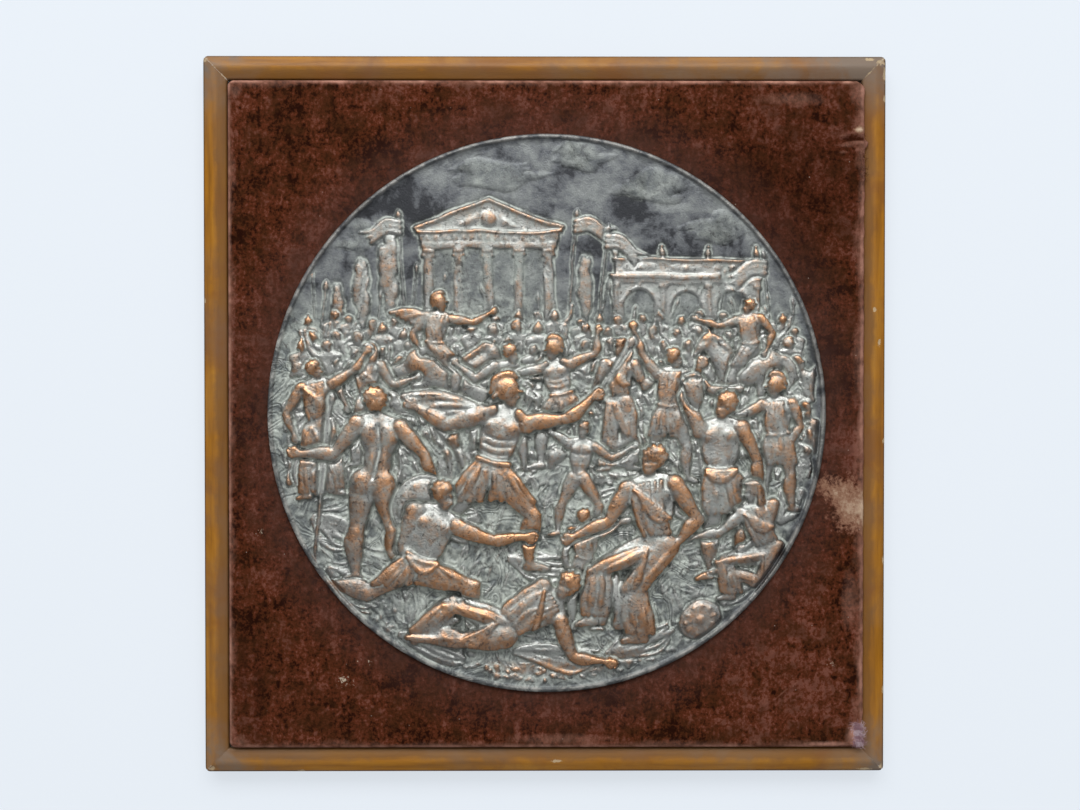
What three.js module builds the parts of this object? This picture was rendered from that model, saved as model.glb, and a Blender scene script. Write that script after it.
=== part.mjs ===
// Relief plaque: a round silvered relief on a velvet panel inside a mitred wooden frame.
// Millimetres, +Z up. The back lies on y = 0, the origin is its centre and the picture faces -y.
import * as THREE from 'three';

// Board and frame
const boardWide = 341;
const boardTall = 358.4;
const cornerRound = 2.4;
const mitreGap = 0.2;
// Frame moulding: distance in from the outer edge, height above the back
const railProfile = [
  [0, 7.6],
  [0.35, 8.5],
  [0.71, 8.9],
  [2.2, 9.6],
  [5.6, 10.8],
  [6.6, 10.7],
  [10.8, 9.6],
  [11.8, 9.2],
  [12.25, 8.6],
];

// Velvet panel, as insets from the board's outer edge and heights above the back
const velvetInset = 13.05;
const velvetSkin = 1.4;
const velvetHem = 1.2;
const velvetFront = 13;
const velvetEdge = 2.6;
const velvetCorner = 3;
const velvetInnerCorner = 0.5;
const backingThick = 10.7;
const clearGap = 0.3;

// Relief disc
const discRadius = 138.75;
const discAcross = 1;
const discUp = 0.75;
const discBack = velvetFront + clearGap;
const plateThick = 1.3;
const rimHeight = 1;
const rimHalf = 1.4;
const reliefScale = 0.72;
const reliefTriangles = 8500;
const rimPoints = 120;
const netPitch = 1.3;
const carvePitch = 0.75;

// Crowd rows: height in the picture, head size
const crowdRows = [
  [47, 4.6],
  [40, 5.2],
  [32, 5.8],
  [23, 6.6],
];

// Standards between the buildings: foot, top, pennant direction (0 for none)
const standards = [
  [[10, 30], [14, 96], 1],
  [[24, 30], [30, 88], 1],
  [[-70, 30], [-73, 96], -1],
  [[112, 20], [108, 76], -1],
  [[-114, 20], [-110, 60], 0],
  [[118, 10], [122, 54], 0],
];

// Cypress trees: foot and height
const cypresses = [
  [-78, 42, 46],
  [-92, 38, 36],
  [-104, 34, 28],
  [19, 42, 34],
];

// Figures from the back of the picture to the front. Angles turn from hanging down (0) through
// right (90) to straight up (180). h is the height of the head and at is the hip.
const cast = [
  {
    kind: 'horse', at: [-52, 20], h: 8.6, way: 1, pitch: 20, fore: [78, -25], fore2: [55, -45],
    base: 1.0,
  },
  {
    kind: 'figure', at: [-56, 32], h: 7.8, lean: 172, head: [180, 1], hat: 'helmet', armL: [-40, 30],
    armR: [80, 120], legR: [42, -10, 1], dress: 'tunic', cloak: [-1.9, -0.6], base: 1.6,
  },
  {
    kind: 'horse', at: [100, 22], h: 7.8, way: -1, pitch: 6, fore: [50, -30], fore2: [20, -15],
    base: 0.9,
  },
  {
    kind: 'figure', at: [101, 32], h: 7.2, lean: 186, head: [178, -1], armL: [-75, -110],
    armR: [40, -20], legL: [-30, 5, -1], dress: 'tunic', base: 1.4,
  },
  {
    kind: 'figure', at: [-22, 4], h: 8.6, lean: 168, view: 'back', head: [172, 1], armL: [-60, -130],
    armR: [80, 60], legL: [-15, -5, -1], legR: [25, 5, 1], base: 1.1,
  },
  {
    kind: 'figure', at: [8, 6], h: 8.8, lean: 190, head: [190, -1], hat: 'helmet', armL: [-75, -50],
    armR: [110, 170], legL: [-25, -5, -1], legR: [15, 10, 1], dress: 'cuirass', base: 1.1,
  },
  {
    kind: 'figure', at: [36, 6], h: 8.8, lean: 180, head: [176, -0.5], hat: 'veil', armL: [-25, 40],
    armR: [25, 150], legL: [-6, 0, -1], legR: [8, 0, 1], dress: 'robe', base: 1.1,
  },
  {
    kind: 'figure', at: [60, 0], h: 9.2, lean: 174, head: [170, 1], armL: [-140, -165], armR: [60, 95],
    legL: [-10, -4, -1], legR: [22, 0, 1], dress: 'tunic', base: 1.1,
  },
  {
    kind: 'figure', at: [-88, 6], h: 8.4, lean: 184, head: [176, -0.5], hat: 'veil', armL: [-40, 20],
    armR: [30, 110], legL: [-8, 0, -1], legR: [10, 0, 1], dress: 'robe', base: 1.1,
  },
  {
    kind: 'figure', at: [-113, -6], h: 9.2, lean: 186, head: [182, 1], armL: [-30, 20],
    armR: [120, 150], legL: [-8, 0, -1], legR: [14, 4, 1], dress: 'robe', base: 1.2,
  },
  {
    kind: 'figure', at: [115, -14], h: 9.2, lean: 184, head: [186, -1], hat: 'helmet',
    armL: [-60, -120], armR: [20, -30], legL: [-12, 0, -1], legR: [8, 4, 1], dress: 'tunic', base: 1.2,
  },
  {
    kind: 'figure', at: [16, -32], h: 7.8, lean: 176, head: [180, -0.5], armL: [-120, -150],
    armR: [60, 120], legL: [-25, -10, -1], legR: [30, -10, 1], base: 1.2,
  },
  {
    kind: 'pole', from: [-116, -78], to: [-108, 4], r: 1.0, base: 1.4,
  },
  {
    kind: 'figure', at: [-86, -34], h: 13.2, lean: 176, view: 'back', head: [186, 2], armL: [-38, -95],
    armR: [42, 20], legL: [-10, -2, -1], legR: [14, 6, 1], bend: 0.12, base: 1.6,
  },
  {
    kind: 'shield', at: [-62, -46], r: 14, tall: 1.15, turn: -12, base: 1.9,
  },
  {
    kind: 'pole', from: [21, 4], to: [40, 33], r: 1.0, base: 1.9,
  },
  {
    kind: 'figure', at: [-28, -30], h: 13.6, lean: 166, head: [176, 1], hat: 'helmet',
    armL: [-70, -120], armR: [96, 130], legL: [-34, -52, -1], legR: [40, -4, 1], dress: 'cuirass',
    cloak: [-2.6, -0.6], base: 1.7,
  },
  {
    kind: 'figure', at: [88, -34], h: 12.6, lean: 182, head: [172, -0.5], armL: [-155, -205],
    armR: [24, 10], legL: [-6, 2, -1], legR: [12, 2, 1], bend: -0.14, dress: 'kilt', base: 1.7,
  },
  {
    kind: 'amphora', at: [73, 10], r: 7.5, turn: 14, base: 2.2,
  },
  {
    kind: 'figure', at: [110, -68], h: 10.2, lean: 196, head: [190, -1], hat: 'veil', armL: [-50, -80],
    armR: [-10, -60], legL: [-80, 10, -1], legR: [-30, -110, -1], dress: 'robe', base: 1.6,
  },
  {
    kind: 'figure', at: [18, -76], h: 8.2, lean: 176, head: [182, 1], armL: [-20, 10],
    armR: [120, 100], legL: [-8, 0, -1], legR: [10, 0, 1], dress: 'tunic', base: 1.6,
  },
  {
    kind: 'figure', at: [54, -66], h: 14, lean: 184, head: [174, -0.5], armL: [-34, -66],
    armR: [34, -40], legL: [-66, -4, -1], legR: [-40, 10, -1], dress: 'robe', base: 2.0,
  },
  {
    kind: 'figure', at: [-64, -78], h: 13, lean: 160, head: [164, 1], armL: [-20, 30], armR: [70, 95],
    legL: [-60, -100, -1], legR: [76, -4, 1], dress: 'kilt', base: 2.0,
  },
  {
    kind: 'figure', at: [-22, -107], h: 12.8, lean: 118, head: [156, -0.5], armL: [-60, -20],
    armR: [20, 80], wide: 0.9, legL: [-112, -52, 0], legR: [-86, -96, 0], dress: 'robe', base: 2.2,
  },
  {
    kind: 'shield', at: [76, -102], r: 11, tall: 0.8, turn: 30, base: 2.0,
  },
];

// Height map of the picture, square, in steps of carvePitch
const carveCells = Math.ceil((2 * discRadius) / carvePitch) + 1;
const carved = new Float64Array(carveCells * carveCells);

const toRad = Math.PI / 180;

function heading(degrees) {
  return [Math.sin(degrees * toRad), -Math.cos(degrees * toRad)];
}

function wobble(i, k) {
  const v = Math.sin(i * 12.9898 + k * 78.233) * 43758.5453;
  return v - Math.floor(v);
}

// One layer of the picture: balls and plates that are set into the map together
class Layer {
  constructor() {
    this.forms = [];
  }

  ball(at, z, rx, ry = rx, turn = 0, squash = 0.6) {
    const c = Math.cos(turn * toRad);
    const s = Math.sin(turn * toRad);
    const small = Math.min(rx, ry);
    this.forms.push({
      box: [at[0], at[1], Math.max(rx, ry), Math.max(rx, ry)],
      read(x, y) {
        const dx = x - at[0];
        const dy = y - at[1];
        const q = Math.hypot((dx * c + dy * s) / rx, (dy * c - dx * s) / ry);
        const top = z + squash * small * Math.sqrt(Math.max(0, 1 - q * q));
        return [(q - 1) * small, top];
      },
    });
  }

  // Rounded bar along straight pieces, with a radius at each point
  bar(points, radii, z = 0, squash = 0.6) {
    for (let i = 0; i + 1 < points.length; i += 1) {
      const a = points[i];
      const b = points[i + 1];
      const ra = radii[i];
      const rb = radii[i + 1];
      const dx = b[0] - a[0];
      const dy = b[1] - a[1];
      const span = Math.max(1e-6, dx * dx + dy * dy);
      const big = Math.max(ra, rb);
      this.forms.push({
        box: [(a[0] + b[0]) / 2, (a[1] + b[1]) / 2, Math.abs(dx) / 2 + big, Math.abs(dy) / 2 + big],
        read(x, y) {
          const t = Math.min(1, Math.max(0, ((x - a[0]) * dx + (y - a[1]) * dy) / span));
          const r = ra + (rb - ra) * t;
          const d = Math.hypot(x - a[0] - dx * t, y - a[1] - dy * t);
          const top = z + squash * Math.sqrt(Math.max(0, r * r - d * d));
          return [d - r, top];
        },
      });
    }
  }

  // Convex flat plate
  plate(corners, z) {
    const mx = corners.reduce((sum, p) => sum + p[0], 0) / corners.length;
    const my = corners.reduce((sum, p) => sum + p[1], 0) / corners.length;
    const wide = Math.max(...corners.map((p) => Math.abs(p[0] - mx)));
    const tall = Math.max(...corners.map((p) => Math.abs(p[1] - my)));
    const walls = corners.map((a, i) => {
      const b = corners[(i + 1) % corners.length];
      const length = Math.hypot(b[0] - a[0], b[1] - a[1]);
      let nx = (b[1] - a[1]) / length;
      let ny = (a[0] - b[0]) / length;
      if ((mx - a[0]) * nx + (my - a[1]) * ny > 0) {
        nx = -nx;
        ny = -ny;
      }
      return [a, nx, ny];
    });
    this.forms.push({
      box: [mx, my, wide, tall],
      read(x, y) {
        const d = Math.max(...walls.map(([a, nx, ny]) => (x - a[0]) * nx + (y - a[1]) * ny));
        return [d, z];
      },
    });
  }

  box(x0, y0, x1, y1, z) {
    this.plate([[x0, y0], [x1, y0], [x1, y1], [x0, y1]], z);
  }

  // Sets the layer at a level: what stands behind it is lowered and a trench runs round it
  place(base, moat = 0.9, width = 1.8) {
    const best = new Map();
    for (const form of this.forms) {
      const [cx, cy, wide, tall] = form.box;
      const i0 = Math.max(0, Math.floor((cx - wide - width + discRadius) / carvePitch));
      const i1 = Math.min(carveCells - 1, Math.ceil((cx + wide + width + discRadius) / carvePitch));
      const j0 = Math.max(0, Math.floor((cy - tall - width + discRadius) / carvePitch));
      const j1 = Math.min(carveCells - 1, Math.ceil((cy + tall + width + discRadius) / carvePitch));
      for (let j = j0; j <= j1; j += 1) {
        for (let i = i0; i <= i1; i += 1) {
          const [d, top] = form.read(i * carvePitch - discRadius, j * carvePitch - discRadius);
          if (d > width) {
            continue;
          }
          const key = j * carveCells + i;
          const held = best.get(key) || [99, -99];
          best.set(key, [Math.min(held[0], d), d < 0 ? Math.max(held[1], top) : held[1]]);
        }
      }
    }
    for (const [key, [d, top]] of best) {
      if (d < 0) {
        carved[key] = base + top;
      } else {
        const t = 1 - d / width;
        const kept = Math.min(carved[key], base + 1.2);
        carved[key] = Math.max(kept - moat * t, Math.min(kept, -0.7));
      }
    }
  }
}

// Local axes, across and up, in head units about a point
function localFrame(at, up, unit, bend = 0) {
  const u = heading(up);
  const s = [u[1], -u[0]];
  const point = (a, b) => {
    const across = a + bend * Math.sin(Math.PI * Math.min(1, Math.max(0, b / 2.45)));
    return [
      at[0] + unit * (across * s[0] + b * u[0]),
      at[1] + unit * (across * s[1] + b * u[1]),
    ];
  };
  point.turn = Math.atan2(s[1], s[0]) / toRad;
  return point;
}

function along(start, degrees, length) {
  const d = heading(degrees);
  return [start[0] + d[0] * length, start[1] + d[1] * length];
}

function between(a, b, t) {
  return [a[0] + (b[0] - a[0]) * t, a[1] + (b[1] - a[1]) * t];
}

// Cloth as a fan of rounded folds from the line a0-a1 to the line b0-b1
function folds(layer, a0, a1, b0, b1, count, radius, z) {
  for (let i = 0; i < count; i += 1) {
    const t = i / (count - 1);
    layer.bar([between(a0, a1, t), between(b0, b1, t)], [radius, radius], z, 0.7);
  }
}

function head(layer, at, h, tilt, face, hat, z) {
  const f = localFrame(at, tilt, h);
  const turned = face === 2 ? 0 : face;
  layer.ball(f(-0.07 * turned, 0.1), z, 0.4 * h, 0.42 * h, f.turn, 0.55);
  layer.ball(f(0.13 * turned, -0.16), z, 0.28 * h, 0.36 * h, f.turn, 0.6);
  if (hat === 'helmet') {
    layer.ball(f(-0.06 * turned, 0.17), z + 0.05 * h, 0.47 * h, 0.46 * h, f.turn, 0.63);
    const crest = [f(-0.5 * turned, 0.45), f(0, 0.68), f(0.28 * turned, 0.58)];
    layer.bar(crest, [0.14 * h, 0.16 * h, 0.08 * h], z);
  } else if (hat === 'veil') {
    layer.bar([f(0, 0.4), f(-0.45 * turned, 0), f(-0.42 * turned, -0.5)], [0.2 * h, 0.2 * h, 0.16 * h], z);
  } else {
    layer.ball(f(-0.08 * turned, 0.22), z + 0.08 * h, 0.45 * h, 0.38 * h, f.turn, 0.6);
  }
}

function limb(layer, start, angles, lengths, radii, h, z) {
  const joint = along(start, angles[0], lengths[0] * h);
  const end = along(joint, angles[1], lengths[1] * h);
  layer.bar([start, joint, end], radii.map((r) => r * h), z, 0.55);
  return [joint, end];
}

function figure(p) {
  const h = p.h;
  const layer = new Layer();
  const wide = p.wide || 1;
  const f = localFrame(p.at, p.lean, h, p.bend || 0);
  const z = 0.12 * h;
  const dress = p.dress || 'bare';
  const legs = [];
  for (const [side, key] of [[-1, 'legL'], [1, 'legR']]) {
    if (!p[key]) {
      continue;
    }
    const hip = f(0.36 * side * wide, 0);
    const [knee, ankle] = limb(layer, hip, p[key], [1.85, 1.75], [0.48, 0.34, 0.17], h, z);
    const way = p[key][2];
    layer.bar([ankle, [ankle[0] + 0.6 * h * way, ankle[1] - 0.2 * h]], [0.17 * h, 0.12 * h], z, 0.7);
    legs.push([hip, knee, ankle]);
  }
  layer.ball(f(0, 0.05), z, 0.7 * h, 0.6 * h, f.turn, 0.42);
  layer.ball(f(0, 0.85), z, 0.56 * h, 0.8 * h, f.turn, 0.42);
  layer.ball(f(0, 1.62), z, 0.76 * h, 0.82 * h, f.turn, 0.42);
  layer.bar([f(-0.78 * wide, 2.12), f(0, 2.28), f(0.78 * wide, 2.12)], [0.3 * h, 0.34 * h, 0.3 * h], z, 0.45);
  layer.bar([f(0, 2.3), f(0, 2.7)], [0.26 * h, 0.2 * h], z, 0.55);
  if (p.view === 'back') {
    for (const a of [-1, 1]) {
      layer.ball(f(0.42 * a, 1.78), z + 0.2 * h, 0.3 * h, 0.46 * h, f.turn, 0.42);
      layer.ball(f(0.34 * a, -0.1), z + 0.16 * h, 0.4 * h, 0.44 * h, f.turn, 0.42);
    }
  } else if (dress === 'bare' || dress === 'kilt') {
    for (const a of [-1, 1]) {
      layer.ball(f(0.33 * a, 1.84), z + 0.2 * h, 0.36 * h, 0.27 * h, f.turn, 0.45);
    }
  }
  if (legs.length > 0 && ['tunic', 'cuirass', 'kilt'].includes(dress)) {
    const hems = legs.map(([hip, knee]) => between(hip, knee, 0.62)).sort((a, b) => a[0] - b[0]);
    const left = [hems[0][0] - 0.42 * h, hems[0][1]];
    const right = [hems[hems.length - 1][0] + 0.42 * h, hems[hems.length - 1][1]];
    folds(layer, f(-0.55, 0.42), f(0.55, 0.42), left, right, 7, 0.19 * h, z + 0.2 * h);
  }
  if (legs.length > 0 && dress === 'robe') {
    const w = 0.34 * h;
    for (const [hip, knee, ankle] of legs) {
      const low = between(knee, ankle, 0.9);
      folds(layer, [hip[0] - w, hip[1]], [hip[0] + w, hip[1]], [knee[0] - w, knee[1]], [knee[0] + w, knee[1]],
        4, 0.18 * h, z + 0.22 * h);
      folds(layer, [knee[0] - w, knee[1]], [knee[0] + w, knee[1]], [low[0] - w, low[1]], [low[0] + w, low[1]],
        4, 0.18 * h, z + 0.16 * h);
    }
    if (legs.length === 2) {
      folds(layer, legs[0][1], legs[1][1], legs[0][2], legs[1][2], 4, 0.2 * h, z);
    }
  }
  if (p.cloak) {
    const [dx, dy] = p.cloak;
    folds(layer, f(-0.7, 2.2), f(0.7, 2.2), f(dx - 1.2, 2.55 + dy), f(dx + 0.8, 1.85 + dy), 6, 0.2 * h, z);
  }
  for (const [side, key] of [[-1, 'armL'], [1, 'armR']]) {
    if (!p[key]) {
      continue;
    }
    const shoulder = f(0.84 * side * wide, 2.1);
    layer.ball(shoulder, z + 0.1 * h, 0.37 * h, 0.37 * h, 0, 0.5);
    const [, wrist] = limb(layer, shoulder, p[key], [1.4, 1.2], [0.31, 0.25, 0.15], h, z + 0.12 * h);
    const tips = along(wrist, p[key][1], 0.4 * h);
    layer.bar([wrist, tips], [0.17 * h, 0.13 * h], z + 0.12 * h, 0.6);
  }
  const [tilt, face] = p.head;
  head(layer, along(f(0, 2.5), tilt, 0.5 * h), h, tilt, face, p.hat, z + 0.16 * h);
  layer.place(p.base);
}

function horse(p) {
  const u = p.h;
  const layer = new Layer();
  const f = localFrame(p.at, 180 - p.pitch * p.way, u);
  const at = (a, b) => f(a * p.way, b);
  const z = 0.1 * u;
  const legs = [
    [-1.35, -0.3, [-10, 20]],
    [-1.1, -0.3, [15, -10]],
    [1.25, -0.4, p.fore],
    [1, -0.4, p.fore2],
  ];
  for (const [a, b, angles] of legs) {
    limb(layer, at(a, b), angles.map((deg) => deg * p.way), [1.45, 1.5], [0.5, 0.28, 0.17], u, z);
  }
  layer.ball(at(0, 0), z, 1.75 * u, 0.98 * u, f.turn, 0.4);
  layer.ball(at(1.15, 0.1), z + 0.05 * u, 0.95 * u, u, f.turn, 0.4);
  layer.ball(at(-1.25, 0.12), z + 0.08 * u, u, u, f.turn, 0.42);
  layer.bar([at(1.45, 0.5), at(2.05, 1.35), at(2.4, 2.15)], [0.8 * u, 0.6 * u, 0.42 * u], z, 0.45);
  layer.bar([at(2.35, 2.2), at(2.85, 1.75), at(3.25, 1.2)], [0.42 * u, 0.33 * u, 0.2 * u], z + 0.15 * u, 0.5);
  layer.place(p.base);
}

function pole(from, to, radius, base) {
  const layer = new Layer();
  const length = Math.hypot(to[0] - from[0], to[1] - from[1]);
  const tip = between(from, to, 1 + 6 / length);
  const neck = between(from, to, 1 + 3 / length);
  layer.bar([from, to, neck, tip], [radius, radius, radius * 2.2, 0.4], 0.1, 0.8);
  layer.place(base, 0.5, 1.2);
}

function pennant(at, way, base) {
  const layer = new Layer();
  for (let k = 0; k < 3; k += 1) {
    const y = at[1] - 1 - 2.6 * k;
    const ripple = [
      [at[0], y],
      [at[0] + way * 7, y + 1],
      [at[0] + way * 14, y - 4],
      [at[0] + way * (20 - 3 * k), y - 6],
    ];
    layer.bar(ripple, [1.5, 1.7, 1.5, 0.7], 0.3, 0.6);
  }
  layer.place(base, 0.6, 1.3);
}

function shield(p) {
  const layer = new Layer();
  layer.ball(p.at, 0.4, p.r, p.r * p.tall, p.turn, 0.22);
  layer.ball(p.at, 0.4 + 0.16 * p.r, 0.24 * p.r, 0.24 * p.r * p.tall, p.turn, 0.5);
  layer.place(p.base);
}

function amphora(p) {
  const layer = new Layer();
  const f = localFrame(p.at, 180 + p.turn, p.r);
  const body = [f(0, -0.9), f(0, -0.3), f(0, 0.35), f(0, 0.8), f(0, 1.15)];
  layer.bar(body, [0.16, 0.5, 0.6, 0.24, 0.24].map((r) => r * p.r), 0.1 * p.r, 0.5);
  layer.place(p.base);
}

function temple(x0, x1, y0, y1, columns, base) {
  const layer = new Layer();
  layer.box(x0 - 4, y0 - 6, x1 + 4, y0, 1.2);
  layer.box(x0 + 1, y0, x1 - 1, y1, 0.25);
  for (let i = 0; i < columns; i += 1) {
    const x = x0 + 3 + ((x1 - x0 - 6) * i) / (columns - 1);
    layer.bar([[x, y0 + 1], [x, y1 - 1]], [2.8, 2.4], 0.4, 0.55);
    layer.box(x - 3.2, y1 - 3, x + 3.2, y1, 2);
  }
  layer.box(x0 - 1, y1, x1 + 1, y1 + 7.2, 1.8);
  layer.box(x0 - 3.4, y1 + 7.2, x1 + 3.4, y1 + 9.2, 2.4);
  const middle = (x0 + x1) / 2;
  const peak = y1 + 9.2 + (x1 - x0) * 0.22;
  layer.plate([[x0 - 2, y1 + 9.2], [x1 + 2, y1 + 9.2], [middle, peak]], 1);
  layer.bar([[x0 - 3.4, y1 + 10], [middle, peak]], [1.25, 1.25], 1.2, 0.8);
  layer.bar([[x1 + 3.4, y1 + 10], [middle, peak]], [1.25, 1.25], 1.2, 0.8);
  layer.ball([middle, y1 + 14], 1, 4.2, 4.2, 0, 0.35);
  layer.place(base);
}

function arcade(x0, x1, y0, y1, arches, base) {
  const layer = new Layer();
  const w = (x1 - x0) / arches;
  for (let i = 0; i <= arches; i += 1) {
    const x = x0 + w * i;
    layer.box(Math.max(x0, x - 0.19 * w), y0, Math.min(x1, x + 0.19 * w), y1 - 3.6, 1.3);
    layer.box(x - 2.1, y1 - 5.4, x + 2.1, y1 - 3.6, 2.2);
  }
  for (let i = 0; i < arches; i += 1) {
    const x = x0 + w * (i + 0.5);
    const hoop = [];
    for (let k = 0; k <= 8; k += 1) {
      const a = (Math.PI * k) / 8;
      hoop.push([x + 0.37 * w * Math.cos(a), y1 - 7 - 0.31 * w + 0.37 * w * Math.sin(a)]);
    }
    layer.bar(hoop, hoop.map(() => 1.2), 0.6, 0.9);
    layer.box(x - 1, y1 - 7, x + 1, y1 - 3.6, 2);
  }
  layer.box(x0 - 3, y1 - 3.6, x1 + 3, y1 + 1, 2.2);
  layer.box(x0 - 0.5, y1 + 1, x1 + 0.5, y1 + 7.5, 1.5);
  layer.box(x0 - 1.8, y1 + 7.5, x1 + 1.8, y1 + 9, 2.2);
  for (let i = 0; i <= arches; i += 1) {
    layer.ball([x0 + w * i, y1 + 11.6], 0.8, 1.9, 2.8, 0, 0.7);
  }
  layer.place(base);
}

function carvePicture() {
  temple(-62, 4, 44, 82, 5, 0.3);
  arcade(34, 104, 42, 68, 3, 0.2);
  for (const [x, y, tall] of cypresses) {
    const tree = new Layer();
    tree.bar([[x, y], [x, y + tall * 0.35], [x, y + tall]], [tall * 0.07, tall * 0.1, 0.6], 0, 0.5);
    tree.place(0.3);
  }
  for (const [foot, top, way] of standards) {
    pole(foot, top, 0.65, 0.5);
    if (way !== 0) {
      pennant(top, way, 0.5);
    }
  }
  crowdRows.forEach(([y, size], row) => {
    const span = Math.sqrt((discRadius - 8) ** 2 - y * y);
    const count = Math.floor((2 * span) / (size * 2.15));
    for (let i = 0; i < count; i += 1) {
      const x = -span + (2 * span * (i + 0.5 + 0.25 * (row % 2))) / count + 3 * wobble(i, row) - 1.5;
      const lift = y + 4.4 * wobble(i, row + 4) - 2.2;
      const h = size * (0.92 + 0.16 * wobble(i, row + 8));
      const person = new Layer();
      const shoulders = [[x - 0.75 * h, lift - h], [x, lift - 0.72 * h], [x + 0.75 * h, lift - h]];
      person.bar(shoulders, [0.45 * h, 0.4 * h, 0.45 * h], 0.1 * h, 0.45);
      folds(person, shoulders[0], shoulders[2], [x - 0.9 * h, lift - 2.5 * h], [x + 0.9 * h, lift - 2.5 * h],
        4, 0.3 * h, 0.1 * h);
      head(person, [x, lift], h, 180, 0, 'hair', 0.22 * h);
      person.place(0.5 + 0.15 * row, 0.7, 1.3);
    }
  });
  for (const p of cast) {
    if (p.kind === 'figure') {
      figure(p);
    } else if (p.kind === 'horse') {
      horse(p);
    } else if (p.kind === 'shield') {
      shield(p);
    } else if (p.kind === 'amphora') {
      amphora(p);
    } else {
      pole(p.from, p.to, p.r, p.base);
    }
  }
}

// Height of the picture above the plate, with the rim, at a point measured from the disc's centre
function pictureHeight(x, y) {
  const r = Math.hypot(x, y);
  const i = Math.min(carveCells - 2, Math.max(0, Math.floor((x + discRadius) / carvePitch)));
  const j = Math.min(carveCells - 2, Math.max(0, Math.floor((y + discRadius) / carvePitch)));
  const u = (x + discRadius) / carvePitch - i;
  const v = (y + discRadius) / carvePitch - j;
  const key = j * carveCells + i;
  const low = carved[key] * (1 - u) + carved[key + 1] * u;
  const high = carved[key + carveCells] * (1 - u) + carved[key + carveCells + 1] * u;
  const fade = Math.min(1, Math.max(0, (discRadius - 3.2 - r) / 2.2));
  const rim = Math.sqrt(Math.max(0, 1 - Math.abs(r - (discRadius - rimHalf)) / rimHalf));
  return (low * (1 - v) + high * v) * fade * reliefScale + rimHeight * rim;
}

// Joins two rings of point numbers, both counted anticlockwise from the same direction
function stitchRings(inner, outer, faces) {
  let i = 0;
  let j = 0;
  while (i < inner.length || j < outer.length) {
    const a = inner[i % inner.length];
    const b = outer[j % outer.length];
    const stepInner = (i + 1) / inner.length <= (j + 1) / outer.length && i < inner.length;
    if (inner.length > 1 && (stepInner || j >= outer.length)) {
      faces.push([a, b, inner[(i + 1) % inner.length]]);
      i += 1;
    } else if (j < outer.length) {
      faces.push([a, b, outer[(j + 1) % outer.length]]);
      j += 1;
    } else {
      i += 1;
    }
  }
}

// Close net of rings over the whole disc, ending on the rim
function ringNet() {
  const points = [];
  const rings = [];
  const ring = (radius, count) => {
    const row = [];
    for (let i = 0; i < count; i += 1) {
      const a = (2 * Math.PI * i) / count;
      row.push(points.length);
      points.push([radius * Math.cos(a), radius * Math.sin(a)]);
    }
    rings.push(row);
  };
  ring(0, 1);
  const steps = Math.floor((discRadius - 2 * rimHalf - 0.6) / netPitch);
  for (let k = 1; k <= steps; k += 1) {
    ring(k * netPitch, 6 * k);
  }
  ring(discRadius - 2 * rimHalf, rimPoints);
  ring(discRadius - rimHalf, rimPoints);
  ring(discRadius, rimPoints);
  const faces = [];
  for (let k = 0; k + 1 < rings.length; k += 1) {
    stitchRings(rings[k], rings[k + 1], faces);
  }
  return { points, faces };
}

// Queue that gives back the entry with the lowest cost first
class CostQueue {
  constructor() {
    this.items = [];
  }

  push(item) {
    const list = this.items;
    let at = list.length;
    list.push(item);
    while (at > 0) {
      const up = (at - 1) >> 1;
      if (list[up].cost <= item.cost) {
        break;
      }
      list[at] = list[up];
      at = up;
    }
    list[at] = item;
  }

  pop() {
    const list = this.items;
    const first = list[0];
    const item = list.pop();
    let at = 0;
    while (list.length > 0) {
      let down = 2 * at + 1;
      if (down >= list.length) {
        break;
      }
      if (down + 1 < list.length && list[down + 1].cost < list[down].cost) {
        down += 1;
      }
      if (list[down].cost >= item.cost) {
        break;
      }
      list[at] = list[down];
      at = down;
    }
    if (list.length > 0) {
      list[at] = item;
    }
    return first;
  }
}

// Flatness of the faces round a point, kept as the ten sums of a plane-distance square
function planeSums(a, b, c) {
  const u = [b[0] - a[0], b[1] - a[1], b[2] - a[2]];
  const v = [c[0] - a[0], c[1] - a[1], c[2] - a[2]];
  const n = [u[1] * v[2] - u[2] * v[1], u[2] * v[0] - u[0] * v[2], u[0] * v[1] - u[1] * v[0]];
  const size = Math.hypot(...n);
  const m = n.map((x) => x / size);
  m.push(-(m[0] * a[0] + m[1] * a[1] + m[2] * a[2]));
  const sums = [];
  for (let i = 0; i < 4; i += 1) {
    for (let j = i; j < 4; j += 1) {
      sums.push((m[i] * m[j] * size) / 2);
    }
  }
  return sums;
}

function planeError(q, [x, y, z]) {
  return q[0] * x * x + q[4] * y * y + q[7] * z * z + q[9]
    + 2 * (q[1] * x * y + q[2] * x * z + q[3] * x + q[5] * y * z + q[6] * y + q[8] * z);
}

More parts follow.
